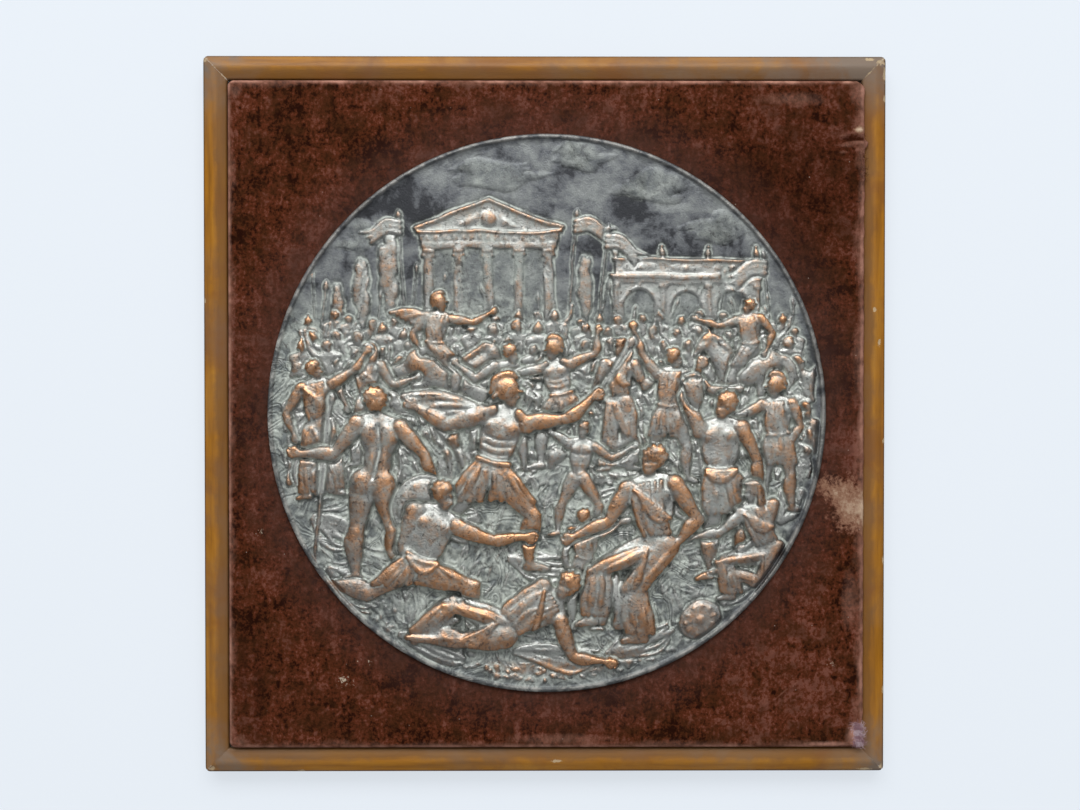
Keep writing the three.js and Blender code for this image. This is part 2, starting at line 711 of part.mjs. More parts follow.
// Merges neighbouring points, flattest places first, until only goal faces are left.
// The rim's outer points stay, and no face may turn over when seen from the front.
function thinOut(points, faces, goal) {
  const keepFrom = points.length - rimPoints;
  const sums = points.map(() => new Array(10).fill(0));
  const around = points.map(() => new Set());
  const stamp = new Int32Array(points.length);
  faces.forEach((face, f) => {
    const plane = planeSums(...face.map((k) => points[k]));
    for (const k of face) {
      around[k].add(f);
      plane.forEach((value, i) => {
        sums[k][i] += value;
      });
    }
  });
  const queue = new CostQueue();
  const offer = (a, b) => {
    if (a >= keepFrom && b >= keepFrom) {
      return;
    }
    const [stay, go] = a >= keepFrom ? [a, b] : [b, a];
    const both = sums[stay].map((value, i) => value + sums[go][i]);
    const p = points[stay];
    const q = points[go];
    const middle = [(p[0] + q[0]) / 2, (p[1] + q[1]) / 2, (p[2] + q[2]) / 2];
    const choices = stay >= keepFrom ? [p] : [p, q, middle];
    let best = choices[0];
    let cost = Infinity;
    for (const choice of choices) {
      const error = planeError(both, choice);
      if (error < cost) {
        cost = error;
        best = choice;
      }
    }
    const length = Math.hypot(p[0] - q[0], p[1] - q[1]);
    cost += 2e-4 * length * length;
    queue.push({ cost, stay, go, best, mark: stamp[stay] + stamp[go] });
  };
  const neighbours = (k) => {
    const found = new Set();
    for (const f of around[k]) {
      for (const other of faces[f]) {
        if (other !== k) {
          found.add(other);
        }
      }
    }
    return found;
  };
  const keepsFacing = (k, skip, best) => {
    for (const f of around[k]) {
      if (!faces[f].includes(skip)) {
        const [a, b, c] = faces[f].map((other) => (other === k ? best : points[other]));
        const area = (b[0] - a[0]) * (c[1] - a[1]) - (b[1] - a[1]) * (c[0] - a[0]);
        const longest = Math.max(
          Math.hypot(b[0] - a[0], b[1] - a[1]),
          Math.hypot(c[0] - b[0], c[1] - b[1]),
          Math.hypot(a[0] - c[0], a[1] - c[1]),
        );
        if (area < 0.06 * longest * longest) {
          return false;
        }
      }
    }
    return true;
  };
  points.forEach((p, k) => {
    for (const other of neighbours(k)) {
      if (other > k) {
        offer(k, other);
      }
    }
  });
  let left = faces.length;
  const gone = new Set();
  while (left > goal && queue.items.length > 0) {
    const { stay, go, best, mark } = queue.pop();
    const fresh = !gone.has(stay) && !gone.has(go) && mark === stamp[stay] + stamp[go];
    if (!fresh) {
      continue;
    }
    const near = neighbours(stay);
    const shared = [...neighbours(go)].filter((k) => near.has(k));
    if (shared.length !== 2 || !keepsFacing(stay, go, best) || !keepsFacing(go, stay, best)) {
      continue;
    }
    points[stay] = best;
    gone.add(go);
    for (const f of around[go]) {
      if (faces[f].includes(stay)) {
        faces[f].forEach((k) => around[k].delete(f));
        faces[f] = null;
        left -= 1;
      } else {
        faces[f] = faces[f].map((k) => (k === go ? stay : k));
        around[stay].add(f);
      }
    }
    sums[stay] = sums[stay].map((value, i) => value + sums[go][i]);
    stamp[stay] += 1;
    for (const other of neighbours(stay)) {
      offer(stay, other);
    }
  }
  return faces.filter((face) => face !== null);
}

// The disc's front, with large faces in the sky and small ones on the figures
function reliefGeometry() {
  carvePicture();
  const { points, faces } = ringNet();
  const raised = points.map(([x, y]) => [x, y, pictureHeight(x, y)]);
  const kept = thinOut(raised, faces, reliefTriangles);
  return closeDisc(kept, raised);
}

// Adds the edge wall and the flat back to the disc's front faces
function closeDisc(faces, points) {
  const positions = [];
  const put = (x, z, depth) => positions.push(x + discAcross, -depth, z + discUp);
  const frontPoint = (k) => put(points[k][0], points[k][1], discBack + plateThick + points[k][2]);
  const backPoint = (k) => put(points[k][0], points[k][1], discBack);
  for (const face of faces) {
    face.forEach(frontPoint);
  }
  const rimStart = points.length - rimPoints;
  for (let i = 0; i < rimPoints; i += 1) {
    const a = rimStart + i;
    const b = rimStart + ((i + 1) % rimPoints);
    frontPoint(a);
    backPoint(a);
    backPoint(b);
    frontPoint(a);
    backPoint(b);
    frontPoint(b);
    backPoint(b);
    backPoint(a);
    put(0, 0, discBack);
  }
  return geometryFrom(positions);
}

function geometryFrom(positions) {
  const geometry = new THREE.BufferGeometry();
  geometry.setAttribute('position', new THREE.Float32BufferAttribute(positions, 3));
  geometry.computeVertexNormals();
  return geometry;
}

function quad(out, a, b, c, d) {
  out.push(...a, ...b, ...c, ...a, ...c, ...d);
}

// One mitred rail lying along the top; the other three are the same piece turned
function railGeometry(long, away) {
  const out = [];
  const roundStart = cornerRound * (1 - Math.SQRT1_2);
  const endInset = (a) => {
    if (a < roundStart) {
      return cornerRound - Math.sqrt(cornerRound ** 2 - (cornerRound - a) ** 2);
    }
    return a;
  };
  const point = (end, a, depth) => [end * (long / 2 - endInset(a) - mitreGap), -depth, away - a];
  const rows = railProfile.length;
  for (let i = 0; i + 1 < rows; i += 1) {
    const [a, front] = railProfile[i];
    const [b, next] = railProfile[i + 1];
    quad(out, point(-1, a, front), point(-1, b, next), point(1, b, next), point(1, a, front));
    quad(out, point(1, a, 0), point(1, b, 0), point(-1, b, 0), point(-1, a, 0));
    quad(out, point(-1, a, 0), point(-1, b, 0), point(-1, b, next), point(-1, a, front));
    quad(out, point(1, a, front), point(1, b, next), point(1, b, 0), point(1, a, 0));
  }
  const [a, outer] = railProfile[0];
  const [b, inner] = railProfile[rows - 1];
  quad(out, point(-1, a, 0), point(-1, a, outer), point(1, a, outer), point(1, a, 0));
  quad(out, point(1, b, 0), point(1, b, inner), point(-1, b, inner), point(-1, b, 0));
  return geometryFrom(out);
}

// Rounded rectangle at an inset from the board's edge, at a height above the back
function rectangleLoop(inset, depth, corner) {
  const loop = [];
  const wide = boardWide / 2 - inset - corner;
  const tall = boardTall / 2 - inset - corner;
  const middles = [[1, 1, 0], [-1, 1, 90], [-1, -1, 180], [1, -1, 270]];
  for (const [sx, sz, start] of middles) {
    for (let k = 0; k <= 3; k += 1) {
      const a = (start + 30 * k) * toRad;
      loop.push([sx * wide + corner * Math.cos(a), -depth, sz * tall + corner * Math.sin(a)]);
    }
  }
  return loop;
}

// Cloth over the front and the edges of the backing board, open at the back
function velvetGeometry() {
  const out = [];
  const inner = velvetInset + velvetSkin;
  const loops = [
    rectangleLoop(inner, backingThick + clearGap, velvetInnerCorner),
    rectangleLoop(inner, velvetHem, velvetInnerCorner),
    rectangleLoop(velvetInset, velvetHem, velvetCorner),
  ];
  for (let k = 0; k <= 4; k += 1) {
    const a = (k / 4) * 90 * toRad;
    const inset = velvetInset + velvetEdge * (1 - Math.cos(a));
    const depth = velvetFront - velvetEdge * (1 - Math.sin(a));
    loops.push(rectangleLoop(inset, depth, Math.max(0.6, velvetCorner - (inset - velvetInset))));
  }
  for (let i = 0; i + 1 < loops.length; i += 1) {
    const here = loops[i];
    const next = loops[i + 1];
    here.forEach((p, k) => {
      const m = (k + 1) % here.length;
      quad(out, p, here[m], next[m], next[k]);
    });
  }
  const cap = (loop, facing) => {
    const middle = [0, loop[0][1], 0];
    loop.forEach((p, k) => {
      const q = loop[(k + 1) % loop.length];
      if (facing < 0) {
        out.push(...middle, ...p, ...q);
      } else {
        out.push(...middle, ...q, ...p);
      }
    });
  };
  cap(loops[0], 1);
  cap(loops[loops.length - 1], -1);
  return geometryFrom(out);
}

const wood = () => new THREE.MeshStandardMaterial({ color: '#94682e', roughness: 0.4, metalness: 0 });
const plank = new THREE.MeshStandardMaterial({ color: '#7a5c3c', roughness: 0.75, metalness: 0 });
const velvet = new THREE.MeshStandardMaterial({ color: '#4c2a20', roughness: 0.95, metalness: 0 });
const silver = new THREE.MeshStandardMaterial({ color: '#8c8a86', roughness: 0.38, metalness: 1 });

const plaque = new THREE.Group();

function add(name, geometry, material) {
  const mesh = new THREE.Mesh(geometry, material);
  mesh.name = name;
  plaque.add(mesh);
  return mesh;
}

add('rail_top', railGeometry(boardWide, boardTall / 2), wood());
add('rail_bottom', railGeometry(boardWide, boardTall / 2), wood()).rotation.y = Math.PI;
add('rail_right', railGeometry(boardTall, boardWide / 2), wood()).rotation.y = Math.PI / 2;
add('rail_left', railGeometry(boardTall, boardWide / 2), wood()).rotation.y = -Math.PI / 2;

const backingInset = 2 * (velvetInset + velvetSkin + clearGap);
const backing = new THREE.BoxGeometry(boardWide - backingInset, backingThick, boardTall - backingInset);
add('backing_board', backing, plank).position.y = -backingThick / 2;

add('velvet_cover', velvetGeometry(), velvet);
add('relief_disc', reliefGeometry(), silver);

export default plaque;
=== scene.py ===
import math
import random
import bpy
import numpy as np
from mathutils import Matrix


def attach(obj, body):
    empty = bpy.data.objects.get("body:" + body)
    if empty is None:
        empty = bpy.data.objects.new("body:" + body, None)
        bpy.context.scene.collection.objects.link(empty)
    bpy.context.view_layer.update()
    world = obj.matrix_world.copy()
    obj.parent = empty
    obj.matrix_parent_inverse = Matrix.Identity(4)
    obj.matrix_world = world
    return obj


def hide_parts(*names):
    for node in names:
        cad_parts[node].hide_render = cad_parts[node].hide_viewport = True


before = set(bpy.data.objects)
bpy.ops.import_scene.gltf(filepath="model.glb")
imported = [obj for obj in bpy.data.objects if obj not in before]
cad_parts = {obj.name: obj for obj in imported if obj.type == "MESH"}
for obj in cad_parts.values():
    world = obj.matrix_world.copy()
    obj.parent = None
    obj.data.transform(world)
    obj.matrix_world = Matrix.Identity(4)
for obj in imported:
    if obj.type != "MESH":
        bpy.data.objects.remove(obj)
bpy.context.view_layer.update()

mm = 0.001
scene = bpy.context.scene
scene.view_settings.view_transform = "Standard"


def linear(hexText):
    # sRGB hex to linear RGBA
    parts = [int(hexText[i:i + 2], 16) / 255 for i in (1, 3, 5)]
    return [p / 12.92 if p <= 0.04045 else ((p + 0.055) / 1.055) ** 2.4 for p in parts] + [1.0]


mathNode, rampNode, mixNode = "ShaderNodeMath", "ShaderNodeValToRGB", "ShaderNodeMix"
times, plus, minus = {"operation": "MULTIPLY"}, {"operation": "ADD"}, {"operation": "SUBTRACT"}
timesPlus, over, most = {"operation": "MULTIPLY_ADD"}, {"operation": "DIVIDE"}, {"operation": "MAXIMUM"}
rgba = {"data_type": "RGBA"}
below, above = 6, 7  # a colour mix's two colours among its inputs


def addNode(tree, kind, settings, inputs, output=None):
    # settings go on the node, stops fill a ramp and knots a curve
    # inputs are constants or other nodes' outputs, by name or in order
    node = tree.nodes.new(kind)
    for name, value in settings.items():
        if name == "stops":
            ramp = node.color_ramp
            while len(ramp.elements) < len(value):
                ramp.elements.new(0.5)
            for element, (place, colour) in zip(ramp.elements, value):
                element.position = place
                element.color = linear(colour) if isinstance(colour, str) else (colour, colour, colour, 1)
        elif name == "knots":
            curve = node.mapping.curves[0]
            while len(curve.points) < len(value):
                curve.points.new(0.5, 0.5)
            for point, spot in zip(curve.points, value):
                point.location = spot
            node.mapping.update()
        else:
            setattr(node, name, value)
    for name, value in inputs.items() if isinstance(inputs, dict) else enumerate(inputs):
        socket = node.inputs[name]
        if isinstance(value, bpy.types.NodeSocket):
            tree.links.new(value, socket)
        else:
            socket.default_value = value
    return node if output is None else node.outputs[output]


def startMaterial(name, patterns, attributes=()):
    # a pattern is a noise: its size in millimetres, detail, roughness, distortion and stretch, if any
    material = bpy.data.materials.new(name)
    material.use_nodes = True
    tree = material.node_tree
    tree.nodes.clear()
    on = {"place": addNode(tree, "ShaderNodeTexCoord", {}, {}, "Object")}
    for label, (size, detail, rough, twist, *stretch) in patterns.items():
        place = on["place"]
        if stretch:
            place = addNode(tree, "ShaderNodeMapping", {}, {"Vector": place, "Scale": stretch}, 0)
        on[label] = addNode(tree, "ShaderNodeTexNoise", {}, {
            "Vector": place, "Scale": 1 / (size * mm), "Detail": detail, "Roughness": rough,
            "Distortion": twist}, "Fac")
    for label in attributes:
        on[label] = addNode(tree, "ShaderNodeAttribute", {"attribute_name": label}, {}, "Fac")
    return material, tree, on


def sway(tree, value, pattern, share):
    # moves a value up and down with a pattern
    centred = addNode(tree, mathNode, minus, [pattern, 0.5], 0)
    return addNode(tree, mathNode, timesPlus, [centred, share, value], 0)


def paint(tree, colour, coat, value, stops):
    # lays a coat over a colour, as thick as the stops make the value
    cover = addNode(tree, rampNode, {"stops": stops}, [value], 0)
    return addNode(tree, mixNode, rgba, {0: cover, below: colour, above: linear(coat)}, 2)


def endMaterial(tree, surface):
    shader = addNode(tree, "ShaderNodeBsdfPrincipled", {}, surface, 0)
    addNode(tree, "ShaderNodeOutputMaterial", {}, {"Surface": shader})


def addPiece(name, points, faces, material, smooth=True):
    # points in millimetres, as x, depth in front of the back, z
    mesh = bpy.data.meshes.new(name)
    co = np.asarray(points, np.float32) * mm
    mesh.from_pydata(np.stack([co[:, 0], -co[:, 1], co[:, 2]], 1).tolist(), [], faces)
    mesh.validate()
    piece = bpy.data.objects.new(name, mesh)
    scene.collection.objects.link(piece)
    mesh.materials.append(material)
    mesh.polygons.foreach_set("use_smooth", [smooth] * len(mesh.polygons))
    return piece


def addValues(piece, name, values):
    # one number per point, read by the material
    layer = piece.data.attributes.new(name, "FLOAT", "POINT")
    layer.data.foreach_set("value", np.asarray(values, np.float32))


# board, all sizes in millimetres
board = {
    "wide": 341.0,
    "tall": 358.4,
}

photo = {
    "middle": (544.5, 414.0),  # pixel at the board's centre
    "pixel": 0.5,  # millimetres
}


def fromPhoto(px, py):
    # where a photo pixel lands on the board's front
    return (px - photo["middle"][0]) * photo["pixel"], (photo["middle"][1] - py) * photo["pixel"]


camera = {
    "place": (-0.00715, -0.75975, 0.01642),  # metres
    "pitch": -0.873,  # degrees, looking slightly down
    "yaw": -0.358,
    "lens": 50.0,
    "sensor": 36.0,
    "nearest": 0.01,
}
lens = bpy.data.cameras.new("photoView")
lens.lens = camera["lens"]
lens.sensor_width = camera["sensor"]
lens.clip_start = camera["nearest"]
viewpoint = bpy.data.objects.new("photoView", lens)
viewpoint.location = camera["place"]
viewpoint.rotation_euler = (math.radians(90 + camera["pitch"]), 0, math.radians(camera["yaw"]))
scene.collection.objects.link(viewpoint)
scene.camera = viewpoint
print("camera set")


# relief picture: a height map is carved layer by layer, from the sky to the nearest figures
relief = {
    "radius": 138.75,
    "across": 1.0,
    "up": 0.75,
    "back": 13.3,  # height of the disc's flat back above the board's back
    "plate": 1.3,
    "scale": 0.72,  # of the carved heights
    "cell": 0.42,  # of the height map
    "ring": 0.5,  # between the rings of points
    "rim": 2.8,
    "trench": 2.6,  # how far a form looks past its outline
    "triangles": 190000,
    "seed": 11,
}
chance = random.Random(relief["seed"])
discRadius = relief["radius"]
cellCount = int(2 * discRadius / relief["cell"]) + 1
axis = np.linspace(-discRadius, discRadius, cellCount)
cell = axis[1] - axis[0]
field = np.zeros((cellCount, cellCount))


def blurBox(a, k):
    # mean of the k cells on every side
    for way in (0, 1):
        pad = [(0, 0), (0, 0)]
        pad[way] = (k + 1, k)
        sums = np.cumsum(np.pad(a, pad), axis=way)
        n = a.shape[way]
        high = np.take(sums, range(2 * k + 1, 2 * k + 1 + n), axis=way)
        low = np.take(sums, range(0, n), axis=way)
        a = (high - low) / (2 * k + 1)
    return a


def cloudMap(size, seed):
    # smooth unevenness over the whole picture, about -1 to 1, with features of this size in millimetres
    dice = np.random.default_rng(seed)
    n = int(2 * discRadius / size) + 4
    rough = dice.uniform(-1, 1, (n, n))
    at = (axis + discRadius) / size + 1
    k = np.floor(at).astype(int)
    t = at - k
    weights = np.stack([(1 - t) ** 3, 3 * t ** 3 - 6 * t ** 2 + 4, 3 * (t + t * t - t ** 3) + 1, t ** 3]) / 6
    rows = sum(weights[m][:, None] * rough[k + m - 1] for m in range(4))
    return 1.8 * sum(weights[m][None, :] * rows[:, k + m - 1] for m in range(4))


def heading(degrees):
    # 0 hangs straight down, 90 points right, 180 straight up
    a = math.radians(degrees)
    return np.array([math.sin(a), -math.cos(a)])


def wobble(i, k):
    # fixed scatter from 0 to 1
    v = math.sin(i * 12.9898 + k * 78.233) * 43758.5453
    return v - math.floor(v)


def curveThrough(points, spacing):
    # smooth curve through the points, sampled about spacing apart
    p = np.array(points, float)
    ends = np.vstack([2 * p[0] - p[1], p, 2 * p[-1] - p[-2]])
    out = []
    for i in range(1, len(ends) - 2):
        a, b, c, d = ends[i - 1:i + 3]
        n = max(1, int(math.ceil(np.hypot(*(c - b)[:2]) / spacing)))
        for t in np.arange(n) / n:
            out.append(0.5 * (2 * b + (c - a) * t + (2 * a - 5 * b + 4 * c - d) * t * t
                              + (3 * b - 3 * c + d - a) * t ** 3))
    out.append(p[-1])
    return np.array(out)


class Layer:
    # one form or figure: its height, and the distance from its outline
    def __init__(self):
        self.h = np.full(field.shape, -99.0)
        self.d = np.full(field.shape, 99.0)
        self.low = [cellCount, cellCount]
        self.high = [0, 0]

    def window(self, x, y, wide, tall=None):
        tall = wide if tall is None else tall
        i0 = max(0, int((x - wide + discRadius) / cell))
        i1 = min(cellCount, int((x + wide + discRadius) / cell) + 2)
        j0 = max(0, int((y - tall + discRadius) / cell))
        j1 = min(cellCount, int((y + tall + discRadius) / cell) + 2)
        if i0 < i1 and j0 < j1:
            self.low = [min(self.low[0], i0), min(self.low[1], j0)]
            self.high = [max(self.high[0], i1), max(self.high[1], j1)]
        return slice(j0, j1), slice(i0, i1)

    def ball(self, at, z, rx, ry=None, turn=0.0, squash=0.6):
        ry = ry or rx
        w = self.window(at[0], at[1], max(rx, ry) + relief["trench"])
        dx, dy = axis[w[1]][None, :] - at[0], axis[w[0]][:, None] - at[1]
        if turn:
            c, s = math.cos(math.radians(turn)), math.sin(math.radians(turn))
            dx, dy = dx * c + dy * s, dy * c - dx * s
        q = np.sqrt((dx / rx) ** 2 + (dy / ry) ** 2)
        small = min(rx, ry)
        top = z + squash * small * np.sqrt(np.clip(1 - q * q, 0, 1))
        self.h[w] = np.where(q < 1, np.maximum(self.h[w], top), self.h[w])
        self.d[w] = np.minimum(self.d[w], (q - 1) * small)

    def stroke(self, points, radii, z=0.0, squash=0.6):
        rows = []
        for k, p in enumerate(points):
            r = radii if np.isscalar(radii) else radii[k]
            rows.append([p[0], p[1], p[2] if len(p) > 2 else 0.0, r])
        spacing = max(0.25, 0.3 * min(r[3] for r in rows))
        for x, y, lift, r in curveThrough(rows, spacing):
            self.ball((x, y), z + lift, max(r, 0.3), squash=squash)

    def carve(self, points, width, depth):
        line = curveThrough([p[:2] for p in points], max(0.3, width * 0.5))
        middle, half = (line.max(0) + line.min(0)) / 2, (line.max(0) - line.min(0)) / 2 + width * 2.2
        w = self.window(middle[0], middle[1], half[0], half[1])
        gx, gy = axis[w[1]][None, :], axis[w[0]][:, None]
        near = np.full((gy.shape[0], gx.shape[1]), 99.0)
        for x, y in line:
            near = np.minimum(near, (gx - x) ** 2 + (gy - y) ** 2)
        self.h[w] -= depth * np.exp(-near / (width * width))

    def plate(self, corners, z, edge=0.6):
        # convex flat plate with a softened edge
        p = np.array(corners, float)
        c = p.mean(0)
        reach = np.abs(p - c).max(0) + relief["trench"]
        w = self.window(c[0], c[1], reach[0], reach[1])
        gx, gy = axis[w[1]][None, :], axis[w[0]][:, None]
        d = np.full((gy.shape[0], gx.shape[1]), -99.0)
        for a, b in zip(p, np.roll(p, -1, 0)):
            n = np.array([b[1] - a[1], a[0] - b[0]]) / np.hypot(*(b - a))
            if (c - a) @ n > 0:
                n = -n
            d = np.maximum(d, (gx - a[0]) * n[0] + (gy - a[1]) * n[1])
        top = z - 0.5 * np.clip(1 + d / edge, 0, 1) ** 2 * min(edge, z)
        self.h[w] = np.where(d < 0, np.maximum(self.h[w], top), self.h[w])
        self.d[w] = np.minimum(self.d[w], d)

    def box(self, x0, y0, x1, y1, z, edge=0.5):
        self.plate([(x0, y0), (x1, y0), (x1, y1), (x0, y1)], z, edge)

    def sinkArch(self, x, y0, y1, half, z):
        # round-headed opening
        w = self.window(x, (y0 + y1) / 2, (y1 - y0) + half)
        gx, gy = axis[w[1]][None, :], axis[w[0]][:, None]
        spring = y1 - half
        d = np.where(gy > spring, np.hypot(gx - x, gy - spring) - half,
                     np.maximum(np.abs(gx - x) - half, y0 - gy))
        self.h[w] = np.where(d < 0, np.minimum(self.h[w], z), self.h[w])

    def soften(self, k):
        # blurs the form inside its own outline, so joined balls read as one body
        if k < 1:
            return
        w = (slice(self.low[1], self.high[1]), slice(self.low[0], self.high[0]))
        inside = (self.d[w] < 0) & (self.h[w] > -50)
        h, g = np.where(inside, self.h[w], 0), inside.astype(float)
        for _ in range(2):
            h, g = blurBox(h, k), blurBox(g, k)
        self.h[w] = np.where(inside, h / np.maximum(g, 1e-6), self.h[w])

    def roughen(self, amount, pattern):
        # muscle and hammer marks over the form made so far
        w = (slice(self.low[1], self.high[1]), slice(self.low[0], self.high[0]))
        self.h[w] = np.where(self.h[w] > -50, self.h[w] + amount * pattern[w], self.h[w])

    def place(self, base, moat=0.9, width=1.8, room=0.5):
        # lowers what stands behind, cuts a trench round the outline, then sets the form in
        far = int(4.0 / cell)
        w = (slice(max(0, self.low[1] - far), self.high[1] + far),
             slice(max(0, self.low[0] - far), self.high[0] + far))
        h, d, f = self.h[w], self.d[w], field[w]
        near = (d < 0).astype(float)
        for _ in range(3):
            near = blurBox(near, max(1, int(1.6 / cell)))
        near = np.clip(near * 2, 0, 1)
        near = near * near * (3 - 2 * near)
        f = f - np.maximum(0, f - base - room) * near
        t = np.clip(1 - d / width, 0, 1)
        trench = np.maximum(f - moat * t * t * (3 - 2 * t), np.minimum(f, -0.7))
        field[w] = np.where(d < 0, base + h, trench)


class Frame:
    # local axes about a point: across and up, in head units
    def __init__(self, at, up, unit, bend=0.0):
        self.origin, self.u = np.array(at, float), heading(up)
        self.s = np.array([self.u[1], -self.u[0]])
        self.unit, self.bend = unit, bend
        self.turn = math.degrees(math.atan2(self.s[1], self.s[0]))

    def at(self, a, b):
        a = a + self.bend * math.sin(math.pi * min(1, max(0, b / 2.45)))
        p = self.origin + self.unit * (a * self.s + b * self.u)
        return float(p[0]), float(p[1])


def folds(layer, a0, a1, b0, b1, n, r, z=0.0, sag=0.0, squash=0.6, wave=0.25):
    # cloth from the line a0-a1 to the line b0-b1: a low sheet first, uneven ridges over it
    a0, a1, b0, b1 = (np.array(p, float) for p in (a0, a1, b0, b1))

    def strand(t, start, stop, size, lift, drift):
        p, q = a0 + (a1 - a0) * t, b0 + (b1 - b0) * (t + drift)
        side = np.array([q[1] - p[1], p[0] - q[0]])
        side = side / (np.hypot(*side) + 1e-6) * sag * np.hypot(*(q - p))
        points = []
        for k in range(4):
            s = start + (stop - start) * k / 3
            off = chance.uniform(-wave, wave) * size * 1.5
            m = p + (q - p) * s + side * math.sin(math.pi * s) * 1.2 + np.array([off, 0.3 * off])
            points.append((m[0], m[1], z + lift * math.sin(math.pi * min(1, 0.15 + 0.8 * k / 3))))
        layer.stroke(points, [size * 0.6, size, size, size * 0.75], squash=squash)

    for i in range(n):
        strand(i / max(1, n - 1), 0, 1, r * 1.05, 0, 0)
    for i in range(n):
        t = (i + chance.uniform(0.1, 0.9)) / n
        strand(t, chance.choice([0, 0, 0.1, 0.25, 0.4]), chance.choice([1, 1, 1, 0.8]),
               r * chance.uniform(0.35, 0.8), r * chance.uniform(0.45, 0.9), chance.uniform(-0.12, 0.12))


def swags(layer, start, end, n, r, z, sag):
    # cloth hung between two places, each curve lower than the one before
    p, q = np.array(start, float), np.array(end, float)
    long = np.hypot(*(q - p))
    for i in range(n):
        drop = np.array([0, -1.0]) * long * sag * (i + 0.4) / n
        a, b = p + (q - p) * chance.uniform(0, 0.08), q + (p - q) * chance.uniform(0, 0.08)
        size = r * chance.uniform(0.7, 1.15)
        layer.stroke([a, a + (b - a) * 0.3 + drop * 0.85, a + (b - a) * 0.65 + drop, b],
                     [size * 0.6, size, size, size * 0.6], z + r * chance.uniform(0, 0.5), 0.75)


def carveHead(layer, at, h, tilt, face, hat, z):
    # face: -1 and 1 look left and right, 0 out of the picture, 2 away from it
    f = Frame(at, tilt, h)
    t, squash = f.turn, 0.55
    back = face == 2
    s = 1 if face >= 0 else -1
    turned = 0 if back else min(1.0, abs(face))
    layer.ball(f.at(-0.07 * s * turned, 0.1), z, 0.40 * h, 0.42 * h, t, squash)
    if not back:
        front = 0.13 * s * turned
        layer.ball(f.at(front, -0.14), z, (0.30 - 0.03 * turned) * h, 0.38 * h, t, squash * 1.1)
        layer.ball(f.at(front + 0.07 * s * turned, -0.40), z, 0.14 * h, 0.11 * h, t, squash * 1.3)
        nose = 0.35 * s * turned
        layer.stroke([f.at(nose - 0.05 * s * turned, 0.07), f.at(nose + 0.03 * s * turned, -0.14)],
                     [0.05 * h, 0.08 * h], z + 0.15 * h * (1 - 0.6 * turned), 0.9)
        if h > 6.5:
            layer.stroke([f.at(front - 0.2, 0.09), f.at(front, 0.12), f.at(front + 0.2, 0.09)], 0.06 * h,
                         z + 0.13 * h, 0.8)
            for e in (-0.14, 0.14):
                ex = e * (1 - 0.4 * turned) + 0.16 * s * turned
                if turned < 0.9 or e * s > 0:
                    layer.carve([f.at(ex - 0.06, -0.01), f.at(ex + 0.06, -0.01)], 0.075 * h, 0.04 * h)
            mx = 0.2 * s * turned
            layer.carve([f.at(mx - 0.08, -0.25), f.at(mx + 0.08, -0.25)], 0.035 * h, 0.03 * h)
    if hat == "helmet":
        layer.ball(f.at(-0.06 * s * turned, 0.17), z + 0.05 * h, 0.47 * h, 0.46 * h, t, squash * 1.15)
        layer.stroke([f.at(-0.5 * s * max(turned, 0.9), -0.1), f.at(-0.05 * s, 0.14), f.at(0.5 * s, 0.1)],
                     [0.1 * h, 0.08 * h, 0.06 * h], z + 0.2 * h, 0.8)
        layer.stroke([f.at(-0.62 * s * turned, 0.05), f.at(-0.45 * s * turned, 0.52), f.at(0, 0.72),
                      f.at(0.28 * s * turned, 0.6)], [0.08 * h, 0.15 * h, 0.15 * h, 0.07 * h],
                     z + 0.12 * h, 0.7)
        return
    if hat == "cap":
        layer.ball(f.at(-0.06 * s * turned, 0.2), z + 0.06 * h, 0.44 * h, 0.38 * h, t, squash)
        layer.stroke([f.at(-0.42, 0.12), f.at(0, 0.05), f.at(0.42, 0.14)], 0.07 * h, z + 0.2 * h, 0.7)
        return
    if hat == "veil":
        for k in range(4):
            d = 0.1 * k
            layer.stroke([f.at(0.24 * s - d * s, 0.42 - d * 0.3),
                          f.at(-0.2 * s - 0.4 * d * s, 0.46 - d * 0.4),
                          f.at(-0.5 * s + 0.5 * d * s, 0.02), f.at(-0.46 * s + 0.9 * d * s, -0.62)],
                         [0.1 * h, 0.13 * h, 0.13 * h, 0.11 * h], z + (0.06 + 0.04 * k) * h, 0.7)
        return
    # curls in a spiral over the crown, fewer where the face shows
    n = 46 if h > 8 else 26 if h > 6 else 15
    size = (0.085 if h > 8 else 0.1 if h > 6 else 0.13) * h
    cx, cy = -0.1 * s * turned, 0.1 if back else 0.2
    for i in range(n):
        r, a = math.sqrt((i + 0.5) / n), i * 2.39996
        x, y = cx + 0.43 * r * math.cos(a), cy + 0.42 * r * math.sin(a)
        if not back and y < 0.16 - 0.9 * (0.1 - x * s) * turned and x * s > cx * s - 0.3 * (1 - turned):
            continue
        crown = (0.2 * math.sqrt(max(0, 1 - r * r)) + 0.05) * h
        layer.ball(f.at(x, y), z + crown + chance.uniform(0, 0.03) * h, size * chance.uniform(0.8, 1.2),
                   squash=0.85)


def carveLimb(layer, start, angles, sizes, radii, h, z, squash):
    # fullest a third of the way down each half, bent a little like a living limb
    p0 = np.array(start)
    p1 = p0 + heading(angles[0]) * sizes[0] * h
    p2 = p1 + heading(angles[1]) * sizes[1] * h
    r = [k * h for k in radii]
    bow = np.array([p2[1] - p1[1], p1[0] - p2[0]]) * 0.04
    layer.stroke([p0, p0 + (p1 - p0) * 0.35, p0 + (p1 - p0) * 0.75, p1],
                 [r[0], r[1] * 1.04, (r[1] + r[2]) * 0.46, r[2]], z, squash)
    layer.stroke([p1, p1 + (p2 - p1) * 0.28 + bow, p1 + (p2 - p1) * 0.7 + bow * 0.5, p2],
                 [r[2], r[3] * 1.08, (r[3] + r[4]) * 0.47, r[4]], z, squash)
    return p1, p2


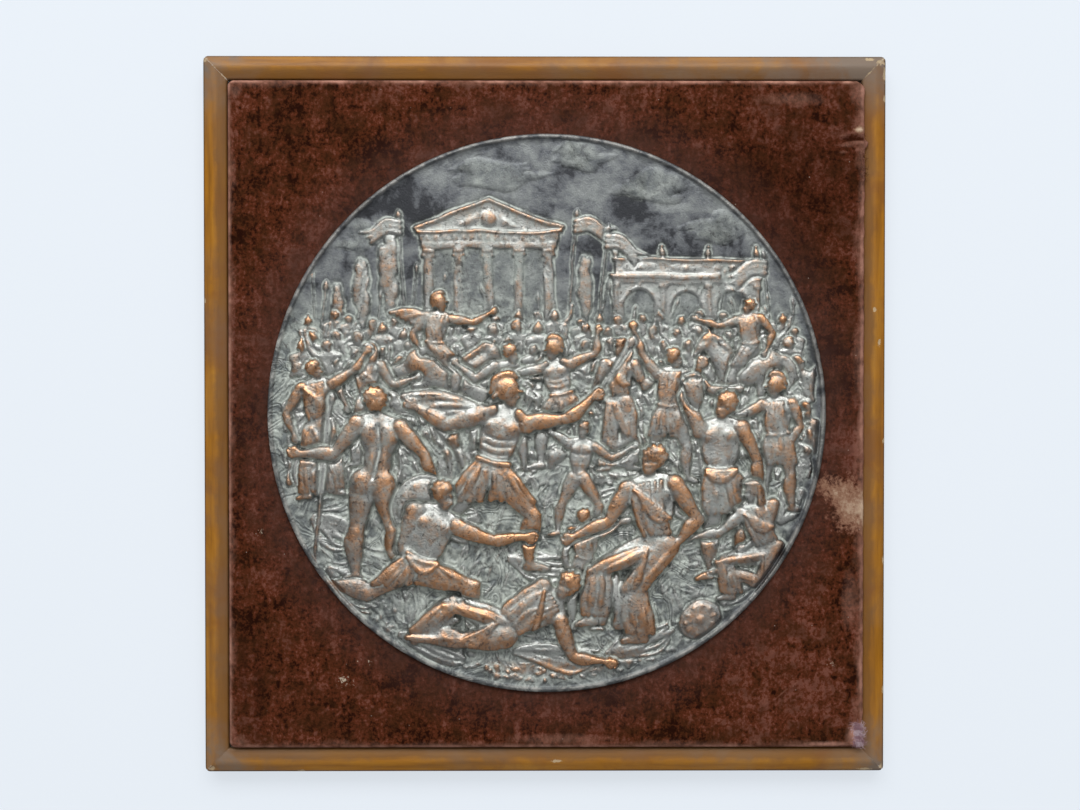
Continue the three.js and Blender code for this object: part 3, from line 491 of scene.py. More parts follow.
def carveHand(layer, at, degrees, h, z):
    f = Frame(at, degrees, h)
    layer.ball(f.at(0, 0.14), z, 0.16 * h, 0.2 * h, f.turn, 0.6)
    if h < 7:
        layer.ball(f.at(0, 0.3), z, 0.13 * h, 0.15 * h, f.turn, 0.6)
        return
    for k in range(4):
        a = -0.13 + 0.085 * k
        layer.stroke([f.at(a, 0.22), f.at(a * 1.2, 0.4), f.at(a * 1.1 + 0.03, 0.5 + 0.05 * (k in (1, 2)))],
                     [0.055 * h, 0.05 * h, 0.045 * h], z + 0.03 * h, 0.9)
    layer.stroke([f.at(0.1, 0.1), f.at(0.22, 0.26), f.at(0.22, 0.36)], 0.055 * h, z + 0.03 * h, 0.9)


def carveFoot(layer, at, way, h, z):
    # toes to the right (1), to the left (-1) or out of the picture (0)
    if way == 0:
        layer.ball((at[0], at[1] - 0.1 * h), z, 0.2 * h, 0.26 * h, 0, 0.7)
        return
    layer.stroke([(at[0] - 0.1 * h * way, at[1] - 0.08 * h), (at[0] + 0.25 * h * way, at[1] - 0.1 * h),
                  (at[0] + 0.62 * h * way, at[1] - 0.2 * h)], [0.17 * h, 0.17 * h, 0.1 * h], z, 0.7)


def carveFigure(p):
    # sizes in heads, from the hips up: legs, trunk, clothes, arms, head
    h = p["h"]
    layer = Layer()
    back, wide = p.get("view") == "back", p.get("wide", 1.0)
    broad = max(wide, 0.75)
    dress = p.get("dress", "bare")
    f = Frame(p["at"], p["lean"], h, p.get("bend", 0.0))
    t, z, flat = f.turn, 0.12 * h, 0.42
    legs = []
    for side, key in ((-1, "legL"), (1, "legR")):
        if key not in p:
            continue
        hip = f.at(0.36 * side * wide, -0.02)
        lift = 0.12 * h if side > 0 else -0.05 * h
        knee, ankle = carveLimb(layer, hip, p[key], (1.85, 1.75), (0.48, 0.47, 0.3, 0.34, 0.15), h, z + lift,
                                0.5)
        layer.ball(knee, z + lift + 0.08 * h, 0.26 * h, squash=0.5)
        carveFoot(layer, ankle, p[key][2], h, z + 0.02 * h)
        legs.append((np.array(hip), knee, ankle))
    layer.ball(f.at(0, 0.05), z, 0.7 * h * broad, 0.6 * h, t, flat)
    layer.ball(f.at(0, 0.85), z, 0.56 * h * max(wide, 0.8), 0.8 * h, t, flat)
    layer.ball(f.at(0, 1.62), z, 0.76 * h * broad, 0.82 * h, t, flat - 0.04)
    layer.stroke([f.at(-0.78 * wide, 2.12), f.at(0, 2.28), f.at(0.78 * wide, 2.12)],
                 [0.3 * h, 0.34 * h, 0.3 * h], z, flat)
    layer.stroke([f.at(0, 2.3), f.at(0, 2.62)], [0.26 * h, 0.2 * h], z, 0.55)
    for a in (-1, 1):
        if back:
            layer.ball(f.at(0.42 * a * wide, 1.78), z + 0.2 * h, 0.3 * h, 0.46 * h, t + 14 * a, flat)
            layer.ball(f.at(0.34 * a * wide, -0.1), z + 0.16 * h, 0.4 * h, 0.44 * h, t, flat)
            layer.ball(f.at(0.22 * a * wide, 0.8), z + 0.2 * h, 0.18 * h, 0.6 * h, t, flat)
        else:
            layer.ball(f.at(0.33 * a * wide, 1.84), z + 0.2 * h, 0.36 * h, 0.27 * h, t - 12 * a, flat + 0.05)
            layer.ball(f.at(0.18 * a * wide, 0.98), z + 0.18 * h, 0.2 * h, 0.56 * h, t, flat)
            layer.ball(f.at(0.5 * a * wide, 1.15), z + 0.12 * h, 0.2 * h, 0.5 * h, t - 8 * a, flat)
    layer.soften(int(0.05 * h / cell + 0.5))
    layer.roughen(0.03 * h, lumps)
    if dress == "bare" and back:
        layer.carve([f.at(0, 2.1), f.at(0.02, 1.2), f.at(0, 0.15)], 0.09 * h, 0.1 * h)
    elif dress == "bare":
        layer.carve([f.at(0, 2.0), f.at(0, 1.3), f.at(0, 0.4)], 0.07 * h, 0.07 * h)
        layer.carve([f.at(-0.5 * wide, 1.6), f.at(-0.2 * wide, 1.5), f.at(0, 1.56), f.at(0.2 * wide, 1.5),
                     f.at(0.5 * wide, 1.6)], 0.07 * h, 0.08 * h)
        layer.carve([f.at(-0.5 * wide, 0.35), f.at(0, 0.1), f.at(0.5 * wide, 0.35)], 0.07 * h, 0.06 * h)
    if dress in ("tunic", "cuirass", "kilt") and legs:
        # skirt to the middle of the thighs, under a belt
        low = sorted((hip + (knee - hip) * 0.62 for hip, knee, _ in legs), key=lambda q: q[0])
        a0, a1 = sorted((f.at(-0.55 * broad, 0.42), f.at(0.55 * broad, 0.42)))
        out = np.array([0.42 * h, 0])
        folds(layer, a0, a1, low[0] - out, low[-1] + out, 9 if h > 7 else 6, 0.17 * h, z + 0.2 * h,
              squash=0.75)
        layer.stroke([f.at(-0.58 * broad, 0.5), f.at(0, 0.4), f.at(0.58 * broad, 0.5)], 0.11 * h,
                     z + 0.3 * h, 0.7)
    if dress == "cuirass":
        for b in (0.75, 1.05, 1.35):
            layer.carve([f.at(-0.5 * wide, b + 0.06), f.at(0, b - 0.04), f.at(0.5 * wide, b + 0.06)],
                        0.05 * h, 0.06 * h)
        for a in (-1, 1):
            layer.stroke([f.at(0.5 * a * wide, 2.35), f.at(0.75 * a * wide, 2.2),
                          f.at(0.98 * a * wide, 1.95)],
                         0.2 * h, z + 0.2 * h, 0.6)
    if dress in ("tunic", "robe"):
        folds(layer, f.at(-0.6 * wide, 2.2), f.at(0.35 * wide, 2.25), f.at(-0.4 * wide, 0.45),
              f.at(0.5 * wide, 0.5),
              6 if h > 7 else 4, 0.13 * h, z + 0.26 * h, sag=0.06, squash=0.7)
    if dress == "robe" and legs:
        w, drop = np.array([0.34 * h, 0]), np.array([0, 0.1 * h])
        for hip, knee, ankle in legs:
            low = knee + (ankle - knee) * 0.9
            folds(layer, hip - w, hip + w, knee - w - drop, knee + w - drop, 5, 0.16 * h, z + 0.22 * h,
                  squash=0.7)
            folds(layer, knee - w, knee + w, low - w * 1.3, low + w * 1.3, 5, 0.16 * h, z + 0.16 * h,
                  squash=0.7)
        if len(legs) == 2:
            folds(layer, legs[0][1], legs[1][1], legs[0][2], legs[1][2], 5, 0.17 * h, z + 0.02 * h,
                  squash=0.7)
            swags(layer, legs[0][0], legs[1][1], 5, 0.11 * h, z + 0.3 * h, 0.3)
        swags(layer, f.at(-0.7 * wide, 2.1), f.at(0.6 * wide, 1.0), 5, 0.1 * h, z + 0.36 * h, 0.28)
    if dress == "kilt":
        swags(layer, f.at(-0.62 * broad, 0.35), f.at(0.62 * broad, 0.45), 4, 0.11 * h, z + 0.34 * h, 0.35)
    if "cloak" in p:
        dx, dy = p["cloak"]
        folds(layer, f.at(-0.7 * wide, 2.2), f.at(0.7 * wide, 2.2), f.at(dx - 1.2, 2.55 + dy),
              f.at(dx + 0.8, 1.85 + dy),
              7, 0.17 * h, z, sag=0.08, squash=0.7)
    for side, key in ((-1, "armL"), (1, "armR")):
        if key not in p:
            continue
        shoulder = f.at(0.84 * side * wide, 2.1)
        lift = 0.16 * h if side > 0 else 0.08 * h
        layer.ball(shoulder, z + 0.1 * h, 0.37 * h, squash=0.5)
        _, wrist = carveLimb(layer, shoulder, p[key], (1.4, 1.2), (0.31, 0.32, 0.22, 0.25, 0.14), h,
                             z + lift, 0.6)
        carveHand(layer, wrist, p[key][1], h, z + lift)
    tilt, face = p["head"]
    crown = np.array(f.at(0, 2.5)) + heading(tilt) * 0.5 * h
    carveHead(layer, crown, h, tilt, face, p.get("hat", "hair"), z + 0.16 * h)
    layer.place(p["base"], width=1.7)


def carveHorse(p):
    u, way = p["h"], p["way"]
    layer = Layer()
    f = Frame(p["at"], 180 - p["pitch"] * way, u)
    z = 0.1 * u

    def at(a, b):
        return f.at(a * way, b)

    legs = [(-1.35, -0.3, (-10, 20)), (-1.1, -0.3, (15, -10)), (1.25, -0.4, p["fore"]),
            (1.0, -0.4, p["fore2"])]
    for x, y, angles in legs:
        _, hoof = carveLimb(layer, at(x, y), (angles[0] * way, angles[1] * way), (1.45, 1.5),
                            (0.55, 0.42, 0.26, 0.2, 0.15), u, z, 0.5)
        layer.ball(hoof, z + 0.05 * u, 0.22 * u, 0.16 * u, 0, 0.7)
    layer.ball(at(0, 0), z, 1.75 * u, 0.98 * u, f.turn, 0.4)
    layer.ball(at(1.15, 0.1), z + 0.05 * u, 0.95 * u, u, f.turn, 0.4)
    layer.ball(at(-1.25, 0.12), z + 0.08 * u, u, u, f.turn, 0.42)
    layer.stroke([at(1.45, 0.5), at(2.05, 1.35), at(2.4, 2.15)], [0.8 * u, 0.6 * u, 0.42 * u], z + 0.05 * u,
                 0.45)
    layer.stroke([at(2.35, 2.2), at(2.85, 1.75), at(3.25, 1.2)], [0.42 * u, 0.33 * u, 0.2 * u], z + 0.15 * u,
                 0.5)
    layer.ball(at(2.65, 1.75), z + 0.2 * u, 0.3 * u, squash=0.6)
    layer.soften(int(0.06 * u / cell + 0.5))
    layer.roughen(0.045 * u, lumps)
    layer.stroke([at(2.25, 2.45), at(2.3, 2.85)], [0.13 * u, 0.06 * u], z + 0.2 * u, 0.7)
    for a, b, c, d in ((2.7, 2.0, 2.82, 1.95), (3.1, 1.45, 3.25, 1.35), (2.95, 1.35, 3.2, 1.1)):
        layer.carve([at(a, b), at(c, d)], 0.07 * u, 0.08 * u)
    folds(layer, at(2.2, 2.5), at(1.0, 1.0), at(1.55, 2.15), at(0.55, 0.75), 8, 0.14 * u, z + 0.25 * u,
          sag=0.1)
    folds(layer, at(-2.05, 0.6), at(-2.1, 0.3), at(-3.0, -0.9), at(-2.3, -1.5), 5, 0.15 * u, z + 0.05 * u,
          sag=-0.15)
    layer.place(p["base"])


def carveShield(p):
    (x, y), r, tall, turn = p["at"], p["r"], p["tall"], p["turn"]
    layer = Layer()
    f = Frame((x, y), 180 + turn, r)
    layer.ball((x, y), 0.4, r, r * tall, turn, 0.22)
    ring = [f.at(0.86 * math.sin(a), 0.86 * tall * math.cos(a)) for a in np.linspace(0, 2 * math.pi, 25)]
    layer.carve(ring, 0.07 * r, 0.06 * r)
    layer.ball((x, y), 0.4 + 0.16 * r, 0.24 * r, 0.24 * r * tall, turn, 0.5)
    for i in range(10):
        a = 2 * math.pi * i / 10
        layer.stroke([f.at(k * math.sin(a), k * tall * math.cos(a)) for k in (0.32, 0.7)],
                     [0.05 * r, 0.085 * r], 0.4 + 0.12 * r, 0.8)
    layer.place(p["base"])


def carveAmphora(p):
    h = p["r"]
    layer = Layer()
    f = Frame(p["at"], 180 + p["turn"], h)
    layer.stroke([f.at(0, b) for b in (-0.9, -0.3, 0.35, 0.8, 1.15)],
                 [k * h for k in (0.16, 0.5, 0.6, 0.24, 0.22)], 0.1 * h, 0.5)
    layer.stroke([f.at(-0.3, 1.18), f.at(0.3, 1.18)], 0.12 * h, 0.25 * h, 0.7)
    for a in (-1, 1):
        layer.stroke([f.at(0.22 * a, 1.05), f.at(0.55 * a, 1.0), f.at(0.5 * a, 0.55)], 0.08 * h, 0.2 * h, 0.8)
    layer.place(p["base"])


def carvePole(start, end, r, base, pennant=None):
    layer = Layer()
    a, b = np.array(start, float), np.array(end, float)
    d = (b - a) / np.hypot(*(b - a))
    layer.stroke([a, b], r, 0.1, 0.9)
    layer.stroke([b, b + d * 3, b + d * 6], [r, r * 2.2, 0.3], 0.1, 0.7)
    layer.place(base, moat=0.5, width=1.2)
    if pennant:
        way, drop = pennant
        cloth = Layer()
        for k in range(3):
            q = b - d * (1.0 + k * 2.6)
            cloth.stroke([q, (q[0] + way * 7, q[1] + 2.2 - drop * 2),
                          (q[0] + way * 14, q[1] - 1.6 - drop * 5),
                          (q[0] + way * (20 - 3 * k), q[1] - drop * 9)], [1.5, 1.7, 1.5, 0.7], 0.3, 0.6)
        cloth.place(base, moat=0.6, width=1.3)


def carveTemple(x0, x1, y0, y1, columns, base):
    layer = Layer()
    w = x1 - x0
    for k in range(3):
        layer.box(x0 - 4 + k * 1.4, y0 - 6 + 2 * k, x1 + 4 - k * 1.4, y0 - 4 + 2 * k, 1.3 - 0.25 * k)
    layer.box(x0 + 1, y0, x1 - 1, y1, 0.25)
    for i in range(columns):
        x = x0 + 3 + (w - 6) * i / (columns - 1)
        layer.stroke([(x, y0 + 1), (x, (y0 + y1) / 2), (x, y1 - 1)], [2.7, 2.6, 2.25], 0.4, 0.55)
        for a in (-1.5, -0.5, 0.5, 1.5):
            layer.carve([(x + a, y0 + 3), (x + a * 0.86, y1 - 5)], 0.3, 0.22)
        layer.box(x - 3.3, y0, x + 3.3, y0 + 1.8, 2.0)
        layer.box(x - 2.8, y0 + 1.8, x + 2.8, y0 + 3, 1.9)
        layer.box(x - 3.2, y1 - 2, x + 3.2, y1, 2.1)
        for a in (-1, 1):
            layer.ball((x + 2.5 * a, y1 - 3), 0.9, 1.2, squash=0.9)
    layer.box(x0 - 1, y1, x1 + 1, y1 + 3.6, 1.9)
    layer.box(x0 - 1.5, y1 + 3.6, x1 + 1.5, y1 + 7.2, 1.6)
    for i in range(int(w / 4.4)):
        layer.box(x0 + 1.5 + 4.4 * i, y1 + 4, x0 + 3.5 + 4.4 * i, y1 + 6.8, 2.0, 0.3)
    layer.box(x0 - 3.4, y1 + 7.2, x1 + 3.4, y1 + 9.2, 2.4)
    mid, top = (x0 + x1) / 2, y1 + 9.2 + w * 0.22
    layer.plate([(x0 - 2, y1 + 9.2), (x1 + 2, y1 + 9.2), (mid, top - 1)], 1.0, 0.4)
    for x in (x0 - 3.4, x1 + 3.4):
        layer.stroke([(x, y1 + 10), (mid, top)], 1.25, 1.2, 0.8)
    layer.ball((mid, y1 + 14), 1.0, 4.2, squash=0.35)
    for a in (-1, 1):
        folds(layer, (mid + a * 5, y1 + 13), (mid + a * 5, y1 + 16), (mid + a * 15, y1 + 10.8),
              (mid + a * 13, y1 + 12.4), 3, 0.8, 1.0)
    layer.place(base)


def carveArcade(x0, x1, y0, y1, arches, base):
    layer = Layer()
    w = (x1 - x0) / arches
    layer.box(x0, y0, x1, y1, 1.2)
    for i in range(arches):
        x = x0 + w * (i + 0.5)
        layer.sinkArch(x, y0, y1 - 7, w * 0.31, 0.1)
        hoop = [(x + w * 0.37 * math.cos(a), y1 - 7 - w * 0.31 + w * 0.37 * math.sin(a))
                for a in np.linspace(0, math.pi, 12)]
        layer.stroke(hoop, 0.6, 1.1, 0.8)
        layer.box(x - 1, y1 - 7, x + 1, y1 - 3.6, 2.0, 0.3)
    for i in range(arches + 1):
        x = x0 + w * i
        layer.stroke([(x, y0), (x, y1 - 5)], [1.5, 1.35], 1.0, 0.7)
        layer.box(x - 2.1, y1 - 5.4, x + 2.1, y1 - 3.6, 2.2, 0.3)
    layer.box(x0 - 2, y1 - 3.6, x1 + 2, y1 - 1.2, 1.9)
    layer.box(x0 - 3, y1 - 1.2, x1 + 3, y1 + 1, 2.5)
    layer.box(x0 - 0.5, y1 + 1, x1 + 0.5, y1 + 7.5, 1.5)
    for i in range(arches):
        x, half = x0 + w * (i + 0.5), w * 0.33
        layer.carve([(x - half, y1 + 2.5), (x + half, y1 + 2.5), (x + half, y1 + 6), (x - half, y1 + 6),
                     (x - half, y1 + 2.5)], 0.35, 0.4)
        layer.ball((x, y1 + 4.3), 1.3, 1.7, squash=0.6)
    layer.box(x0 - 1.8, y1 + 7.5, x1 + 1.8, y1 + 9, 2.2)
    for i in range(arches + 1):
        layer.ball((x0 + w * i, y1 + 11.6), 0.8, 1.7, 2.6, 0, 0.7)
        layer.ball((x0 + w * i, y1 + 15), 0.8, 1.0, squash=0.7)
    layer.place(base)


def carveCypress(x, y, tall, base):
    layer = Layer()
    for i in range(26):
        t = i / 25
        r = tall * 0.1 * math.sin(math.pi * min(1, 0.12 + 0.9 * (1 - t)) ** 0.8) + 0.4
        for k in range(2):
            layer.ball((x + chance.uniform(-0.6, 0.6) * r, y + tall * t), chance.uniform(0, 0.5),
                       r * 0.62, r * 1.1, chance.uniform(-15, 15), 0.5)
    layer.place(base)


def carveCloud(x, y, w, base):
    layer = Layer()
    for k in range(5):
        yy, a = y + (k - 2) * 2.4, chance.uniform(-0.2, 0.2) * w
        layer.stroke([(x - w * 0.5 + a + abs(k - 2) * 4, yy), (x - w * 0.15 + a, yy + 1.8),
                      (x + w * 0.2 + a, yy - 0.9), (x + w * 0.5 + a - abs(k - 2) * 3, yy + 0.8)],
                     [0.9, 2.6, 2.3, 0.7], 0.0, 0.22)
    layer.soften(2)
    layer.place(base, moat=0.2, width=1.8)


def carveBust(x, y, h, hat, face, base, reach):
    layer = Layer()
    z = 0.1 * h
    layer.stroke([(x - 0.75 * h, y - h), (x, y - 0.72 * h), (x + 0.75 * h, y - h)],
                 [0.45 * h, 0.4 * h, 0.45 * h], z, 0.45)
    folds(layer, (x - 0.8 * h, y - 0.95 * h), (x + 0.8 * h, y - 0.95 * h), (x - 0.9 * h, y - 2.5 * h),
          (x + 0.9 * h, y - 2.5 * h), 5, 0.24 * h, z, squash=0.6)
    layer.stroke([(x, y - 0.7 * h), (x, y - 0.4 * h)], 0.2 * h, z, 0.5)
    carveHead(layer, (x, y), h, 180 + chance.uniform(-9, 9), face, hat, z + 0.12 * h)
    if reach:
        side = 1 if reach > 0 else -1
        _, wrist = carveLimb(layer, (x + 0.75 * h * side, y - h), (reach, reach + 30 * side), (1.3, 1.15),
                             (0.3, 0.28, 0.22, 0.22, 0.15), h, z, 0.6)
        carveHand(layer, wrist, reach + 30 * side, h, z)
    layer.place(base, moat=0.7, width=1.3)


def carveGround(x0, y0, x1, y1, n, long, r, lean, base):
    # long low strokes along a slowly turning direction: grass and trampled earth
    for i in range(n):
        q = np.array([chance.uniform(x0, x1), chance.uniform(y0, y1)])
        if np.hypot(*q) > discRadius - 7:
            continue
        flow = 55 * math.sin(q[0] * 0.061 + 1.3 * math.sin(q[1] * 0.05))
        flow += 35 * math.sin(q[1] * 0.09 - q[0] * 0.03)
        degrees, turn = 180 + lean + flow + chance.uniform(-14, 14), chance.uniform(-14, 14)
        points = []
        for k in range(4):
            points.append(q)
            q = q + heading(degrees) * long * 0.33
            degrees += turn
        layer = Layer()
        layer.stroke(points, [r * 0.5, r, r * 0.9, r * 0.35], 0, 0.6)
        layer.place(base + chance.uniform(-0.1, 0.35), moat=0.25, width=0.7)


def carveHeap(x, y, wide, tall, turn, base):
    # cloth thrown on the ground: curved folds running together at one end
    layer = Layer()
    f = Frame((x, y), 180 + turn, 1.0)
    for i in range(9):
        t = (i - 4) / 4
        layer.stroke([f.at(-wide * 0.5, tall * 0.1 * t),
                      f.at(-wide * 0.15, tall * (0.42 * t + chance.uniform(-0.1, 0.1))),
                      f.at(wide * 0.2, tall * (0.5 * t + chance.uniform(-0.1, 0.1))),
                      f.at(wide * chance.uniform(0.42, 0.55), tall * (0.34 * t + 0.12))],
                     [0.7, chance.uniform(0.9, 1.5), chance.uniform(0.8, 1.4), 0.6], chance.uniform(0, 0.9),
                     0.7)
    layer.place(base, moat=0.6, width=1.4)


def carvePebbles(n, start, end, base):
    # along the rim
    for _ in range(n):
        a = math.radians(chance.uniform(start, end))
        r = discRadius - 5.5 - abs(chance.gauss(0, 3.5))
        layer = Layer()
        layer.ball((r * math.cos(a), r * math.sin(a)), 0, chance.uniform(0.9, 2.4), chance.uniform(0.8, 1.7),
                   chance.uniform(-40, 40), 0.6)
        layer.place(base, moat=0.3, width=0.8)


lumps = cloudMap(6.5, 41) + 0.2 * cloudMap(2.8, 42)
# rows of people behind: each draws a hat, a face and the heading of a raised arm, if any
crowd = {
    "rows": [(47, 4.6), (40, 5.2), (32, 5.8), (23, 6.6), (12, 7.4), (0, 8.0), (-13, 8.6)],  # up, head size
    "hats": ["helmet", "hair", "helmet", "cap", "hair", "veil"],
    "faces": [-1, 1, -0.5, 0.5, 1, -1, 0, 2],
    "arms": [0, 0, 0, 140, -140],
    "apart": 2.15,  # heads
    "margin": 8.0,  # kept free inside the disc's edge
}
# limbs as headings of thigh and shin or of upper and lower arm, and for legs the way the toes point
cast = [
    {"kind": "horse", "at": [-52, 20], "h": 8.6, "way": 1, "pitch": 20, "fore": [78, -25], "fore2": [55, -45],
     "base": 1.0},
    {"kind": "figure", "at": [-56, 32], "h": 7.8, "lean": 172, "head": [180, 1], "hat": "helmet",
     "armL": [-40, 30], "armR": [80, 120], "legR": [42, -10, 1], "dress": "tunic", "cloak": [-1.9, -0.6],
     "base": 1.6},
    {"kind": "horse", "at": [100, 22], "h": 7.8, "way": -1, "pitch": 6, "fore": [50, -30], "fore2": [20, -15],
     "base": 0.9},
    {"kind": "figure", "at": [101, 32], "h": 7.2, "lean": 186, "head": [178, -1], "armL": [-75, -110],
     "armR": [40, -20], "legL": [-30, 5, -1], "dress": "tunic", "base": 1.4},
    {"kind": "figure", "at": [-22, 4], "h": 8.6, "lean": 168, "view": "back", "head": [172, 1],
     "armL": [-60, -130], "armR": [80, 60], "legL": [-15, -5, -1], "legR": [25, 5, 1], "base": 1.1},
    {"kind": "figure", "at": [8, 6], "h": 8.8, "lean": 190, "head": [190, -1], "hat": "helmet",
     "armL": [-75, -50],
     "armR": [110, 170], "legL": [-25, -5, -1], "legR": [15, 10, 1], "dress": "cuirass", "base": 1.1},
    {"kind": "figure", "at": [36, 6], "h": 8.8, "lean": 180, "head": [176, -0.5], "hat": "veil",
     "armL": [-25, 40],
     "armR": [25, 150], "legL": [-6, 0, -1], "legR": [8, 0, 1], "dress": "robe", "base": 1.1},
    {"kind": "figure", "at": [60, 0], "h": 9.2, "lean": 174, "head": [170, 1], "armL": [-140, -165],
     "armR": [60, 95], "legL": [-10, -4, -1], "legR": [22, 0, 1], "dress": "tunic", "base": 1.1},
    {"kind": "figure", "at": [-88, 6], "h": 8.4, "lean": 184, "head": [176, -0.5], "hat": "veil",
     "armL": [-40, 20], "armR": [30, 110], "legL": [-8, 0, -1], "legR": [10, 0, 1], "dress": "robe",
     "base": 1.1},
    {"kind": "figure", "at": [-113, -6], "h": 9.2, "lean": 186, "head": [182, 1], "armL": [-30, 20],
     "armR": [120, 150], "legL": [-8, 0, -1], "legR": [14, 4, 1], "dress": "robe", "base": 1.2},
    {"kind": "figure", "at": [115, -14], "h": 9.2, "lean": 184, "head": [186, -1], "hat": "helmet",
     "armL": [-60, -120], "armR": [20, -30], "legL": [-12, 0, -1], "legR": [8, 4, 1], "dress": "tunic",
     "base": 1.2},
    {"kind": "figure", "at": [16, -32], "h": 7.8, "lean": 176, "head": [180, -0.5], "armL": [-120, -150],
     "armR": [60, 120], "legL": [-25, -10, -1], "legR": [30, -10, 1], "base": 1.2},
    {"kind": "pole", "from": [-116, -78], "to": [-108, 4], "r": 1.0, "base": 1.4},
    {"kind": "figure", "at": [-86, -34], "h": 13.2, "lean": 176, "view": "back", "head": [186, 2],
     "armL": [-38, -95], "armR": [42, 20], "legL": [-10, -2, -1], "legR": [14, 6, 1], "bend": 0.12,
     "base": 1.6},
    {"kind": "shield", "at": [-62, -46], "r": 14, "tall": 1.15, "turn": -12, "base": 1.9},
    {"kind": "pole", "from": [21, 4], "to": [40, 33], "r": 1.0, "base": 1.9},
    {"kind": "figure", "at": [-28, -30], "h": 13.6, "lean": 166, "head": [176, 1], "hat": "helmet",
     "armL": [-70, -120], "armR": [96, 130], "legL": [-34, -52, -1], "legR": [40, -4, 1], "dress": "cuirass",
     "cloak": [-2.6, -0.6], "base": 1.7},
    {"kind": "figure", "at": [88, -34], "h": 12.6, "lean": 182, "head": [172, -0.5], "armL": [-155, -205],
     "armR": [24, 10], "legL": [-6, 2, -1], "legR": [12, 2, 1], "bend": -0.14, "dress": "kilt", "base": 1.7},
    {"kind": "amphora", "at": [73, 10], "r": 7.5, "turn": 14, "base": 2.2},
    {"kind": "figure", "at": [110, -68], "h": 10.2, "lean": 196, "head": [190, -1], "hat": "veil",
     "armL": [-50, -80], "armR": [-10, -60], "legL": [-80, 10, -1], "legR": [-30, -110, -1], "dress": "robe",
     "base": 1.6},
    {"kind": "figure", "at": [18, -76], "h": 8.2, "lean": 176, "head": [182, 1], "armL": [-20, 10],
     "armR": [120, 100], "legL": [-8, 0, -1], "legR": [10, 0, 1], "dress": "tunic", "base": 1.6},
    {"kind": "figure", "at": [54, -66], "h": 14, "lean": 184, "head": [174, -0.5], "armL": [-34, -66],
     "armR": [34, -40], "legL": [-66, -4, -1], "legR": [-40, 10, -1], "dress": "robe", "base": 2.0},
    {"kind": "figure", "at": [-64, -78], "h": 13, "lean": 160, "head": [164, 1], "armL": [-20, 30],
     "armR": [70, 95], "legL": [-60, -100, -1], "legR": [76, -4, 1], "dress": "kilt", "base": 2.0},
    {"kind": "figure", "at": [-22, -107], "h": 12.8, "lean": 118, "head": [156, -0.5], "armL": [-60, -20],
     "armR": [20, 80], "wide": 0.9, "legL": [-112, -52, 0], "legR": [-86, -96, 0], "dress": "robe",
     "base": 2.2},
    {"kind": "shield", "at": [76, -102], "r": 11, "tall": 0.8, "turn": 30, "base": 2.0},
]

# what stands round the figures
scenery = {
    "clouds": [(-28, 118, 46, 0.0), (52, 112, 40, 0.0), (88, 92, 34, 0.0), (-92, 88, 30, 0.0),
               (20, 128, 30, 0.0)],  # across, up, width, base
    "temple": (-62, 4, 44, 82, 5, 0.3),  # left, right, foot and head of the columns, how many, base
    "arcade": (34, 104, 42, 68, 3, 0.2),  # left, right, foot, top, arches, base
    "cypresses": [(-78, 42, 46, 0.3), (-92, 38, 36, 0.4), (-104, 34, 28, 0.3),
                  (19, 42, 34, 0.1)],  # across, up, height, base
    "standards": [((10, 30), (14, 96), (1, 0.4)), ((24, 30), (30, 88), (1, 1.0)),
                  ((-70, 30), (-73, 96), (-1, 0.6)), ((112, 20), (108, 76), (-1, 0.8)),
                  ((-114, 20), (-110, 60), None),
                  ((118, 10), (122, 54), None)],  # foot, tip, the cloth's way and droop
    "standardPole": (0.65, 0.5),  # radius, base
    "spears": {"count": 16, "first": -117, "apart": 15, "foot": 30, "tip": 52, "scatter": 18},
    "spearPole": (0.45, 0.6),
    "pebbles": (150, 215, 330, 0.6),  # how many, from and to in degrees, base
    "grass": [(-130, -30, 130, 14, 420, 13, 0.75, 0, 0.5), (-130, -80, 130, -30, 520, 15, 0.8, 0, 0.4),
              (-110, -128, 110, -80, 420, 13, 0.85, 30, 0.3)],  # area, strokes, length, radius, lean, base
    "heaps": [(-106, -58, 26, 15, -34, 0.5), (-98, -86, 30, 14, -40, 0.5), (4, -121, 40, 12, -6, 0.6),
              (46, -114, 34, 12, 18, 0.6), (98, -86, 28, 14, 40, 0.5), (-58, -116, 34, 12, -24, 0.5),
              (30, -46, 26, 15, 12, 0.6), (-4, -76, 30, 14, -14, 0.6), (121, -46, 20, 12, 60, 0.5),
              (-120, -28, 18, 12, 70, 0.5), (-46, -56, 24, 14, 10, 0.6),
              (66, -44, 22, 12, -30, 0.6)],  # across, up, width, height, turn, base
}


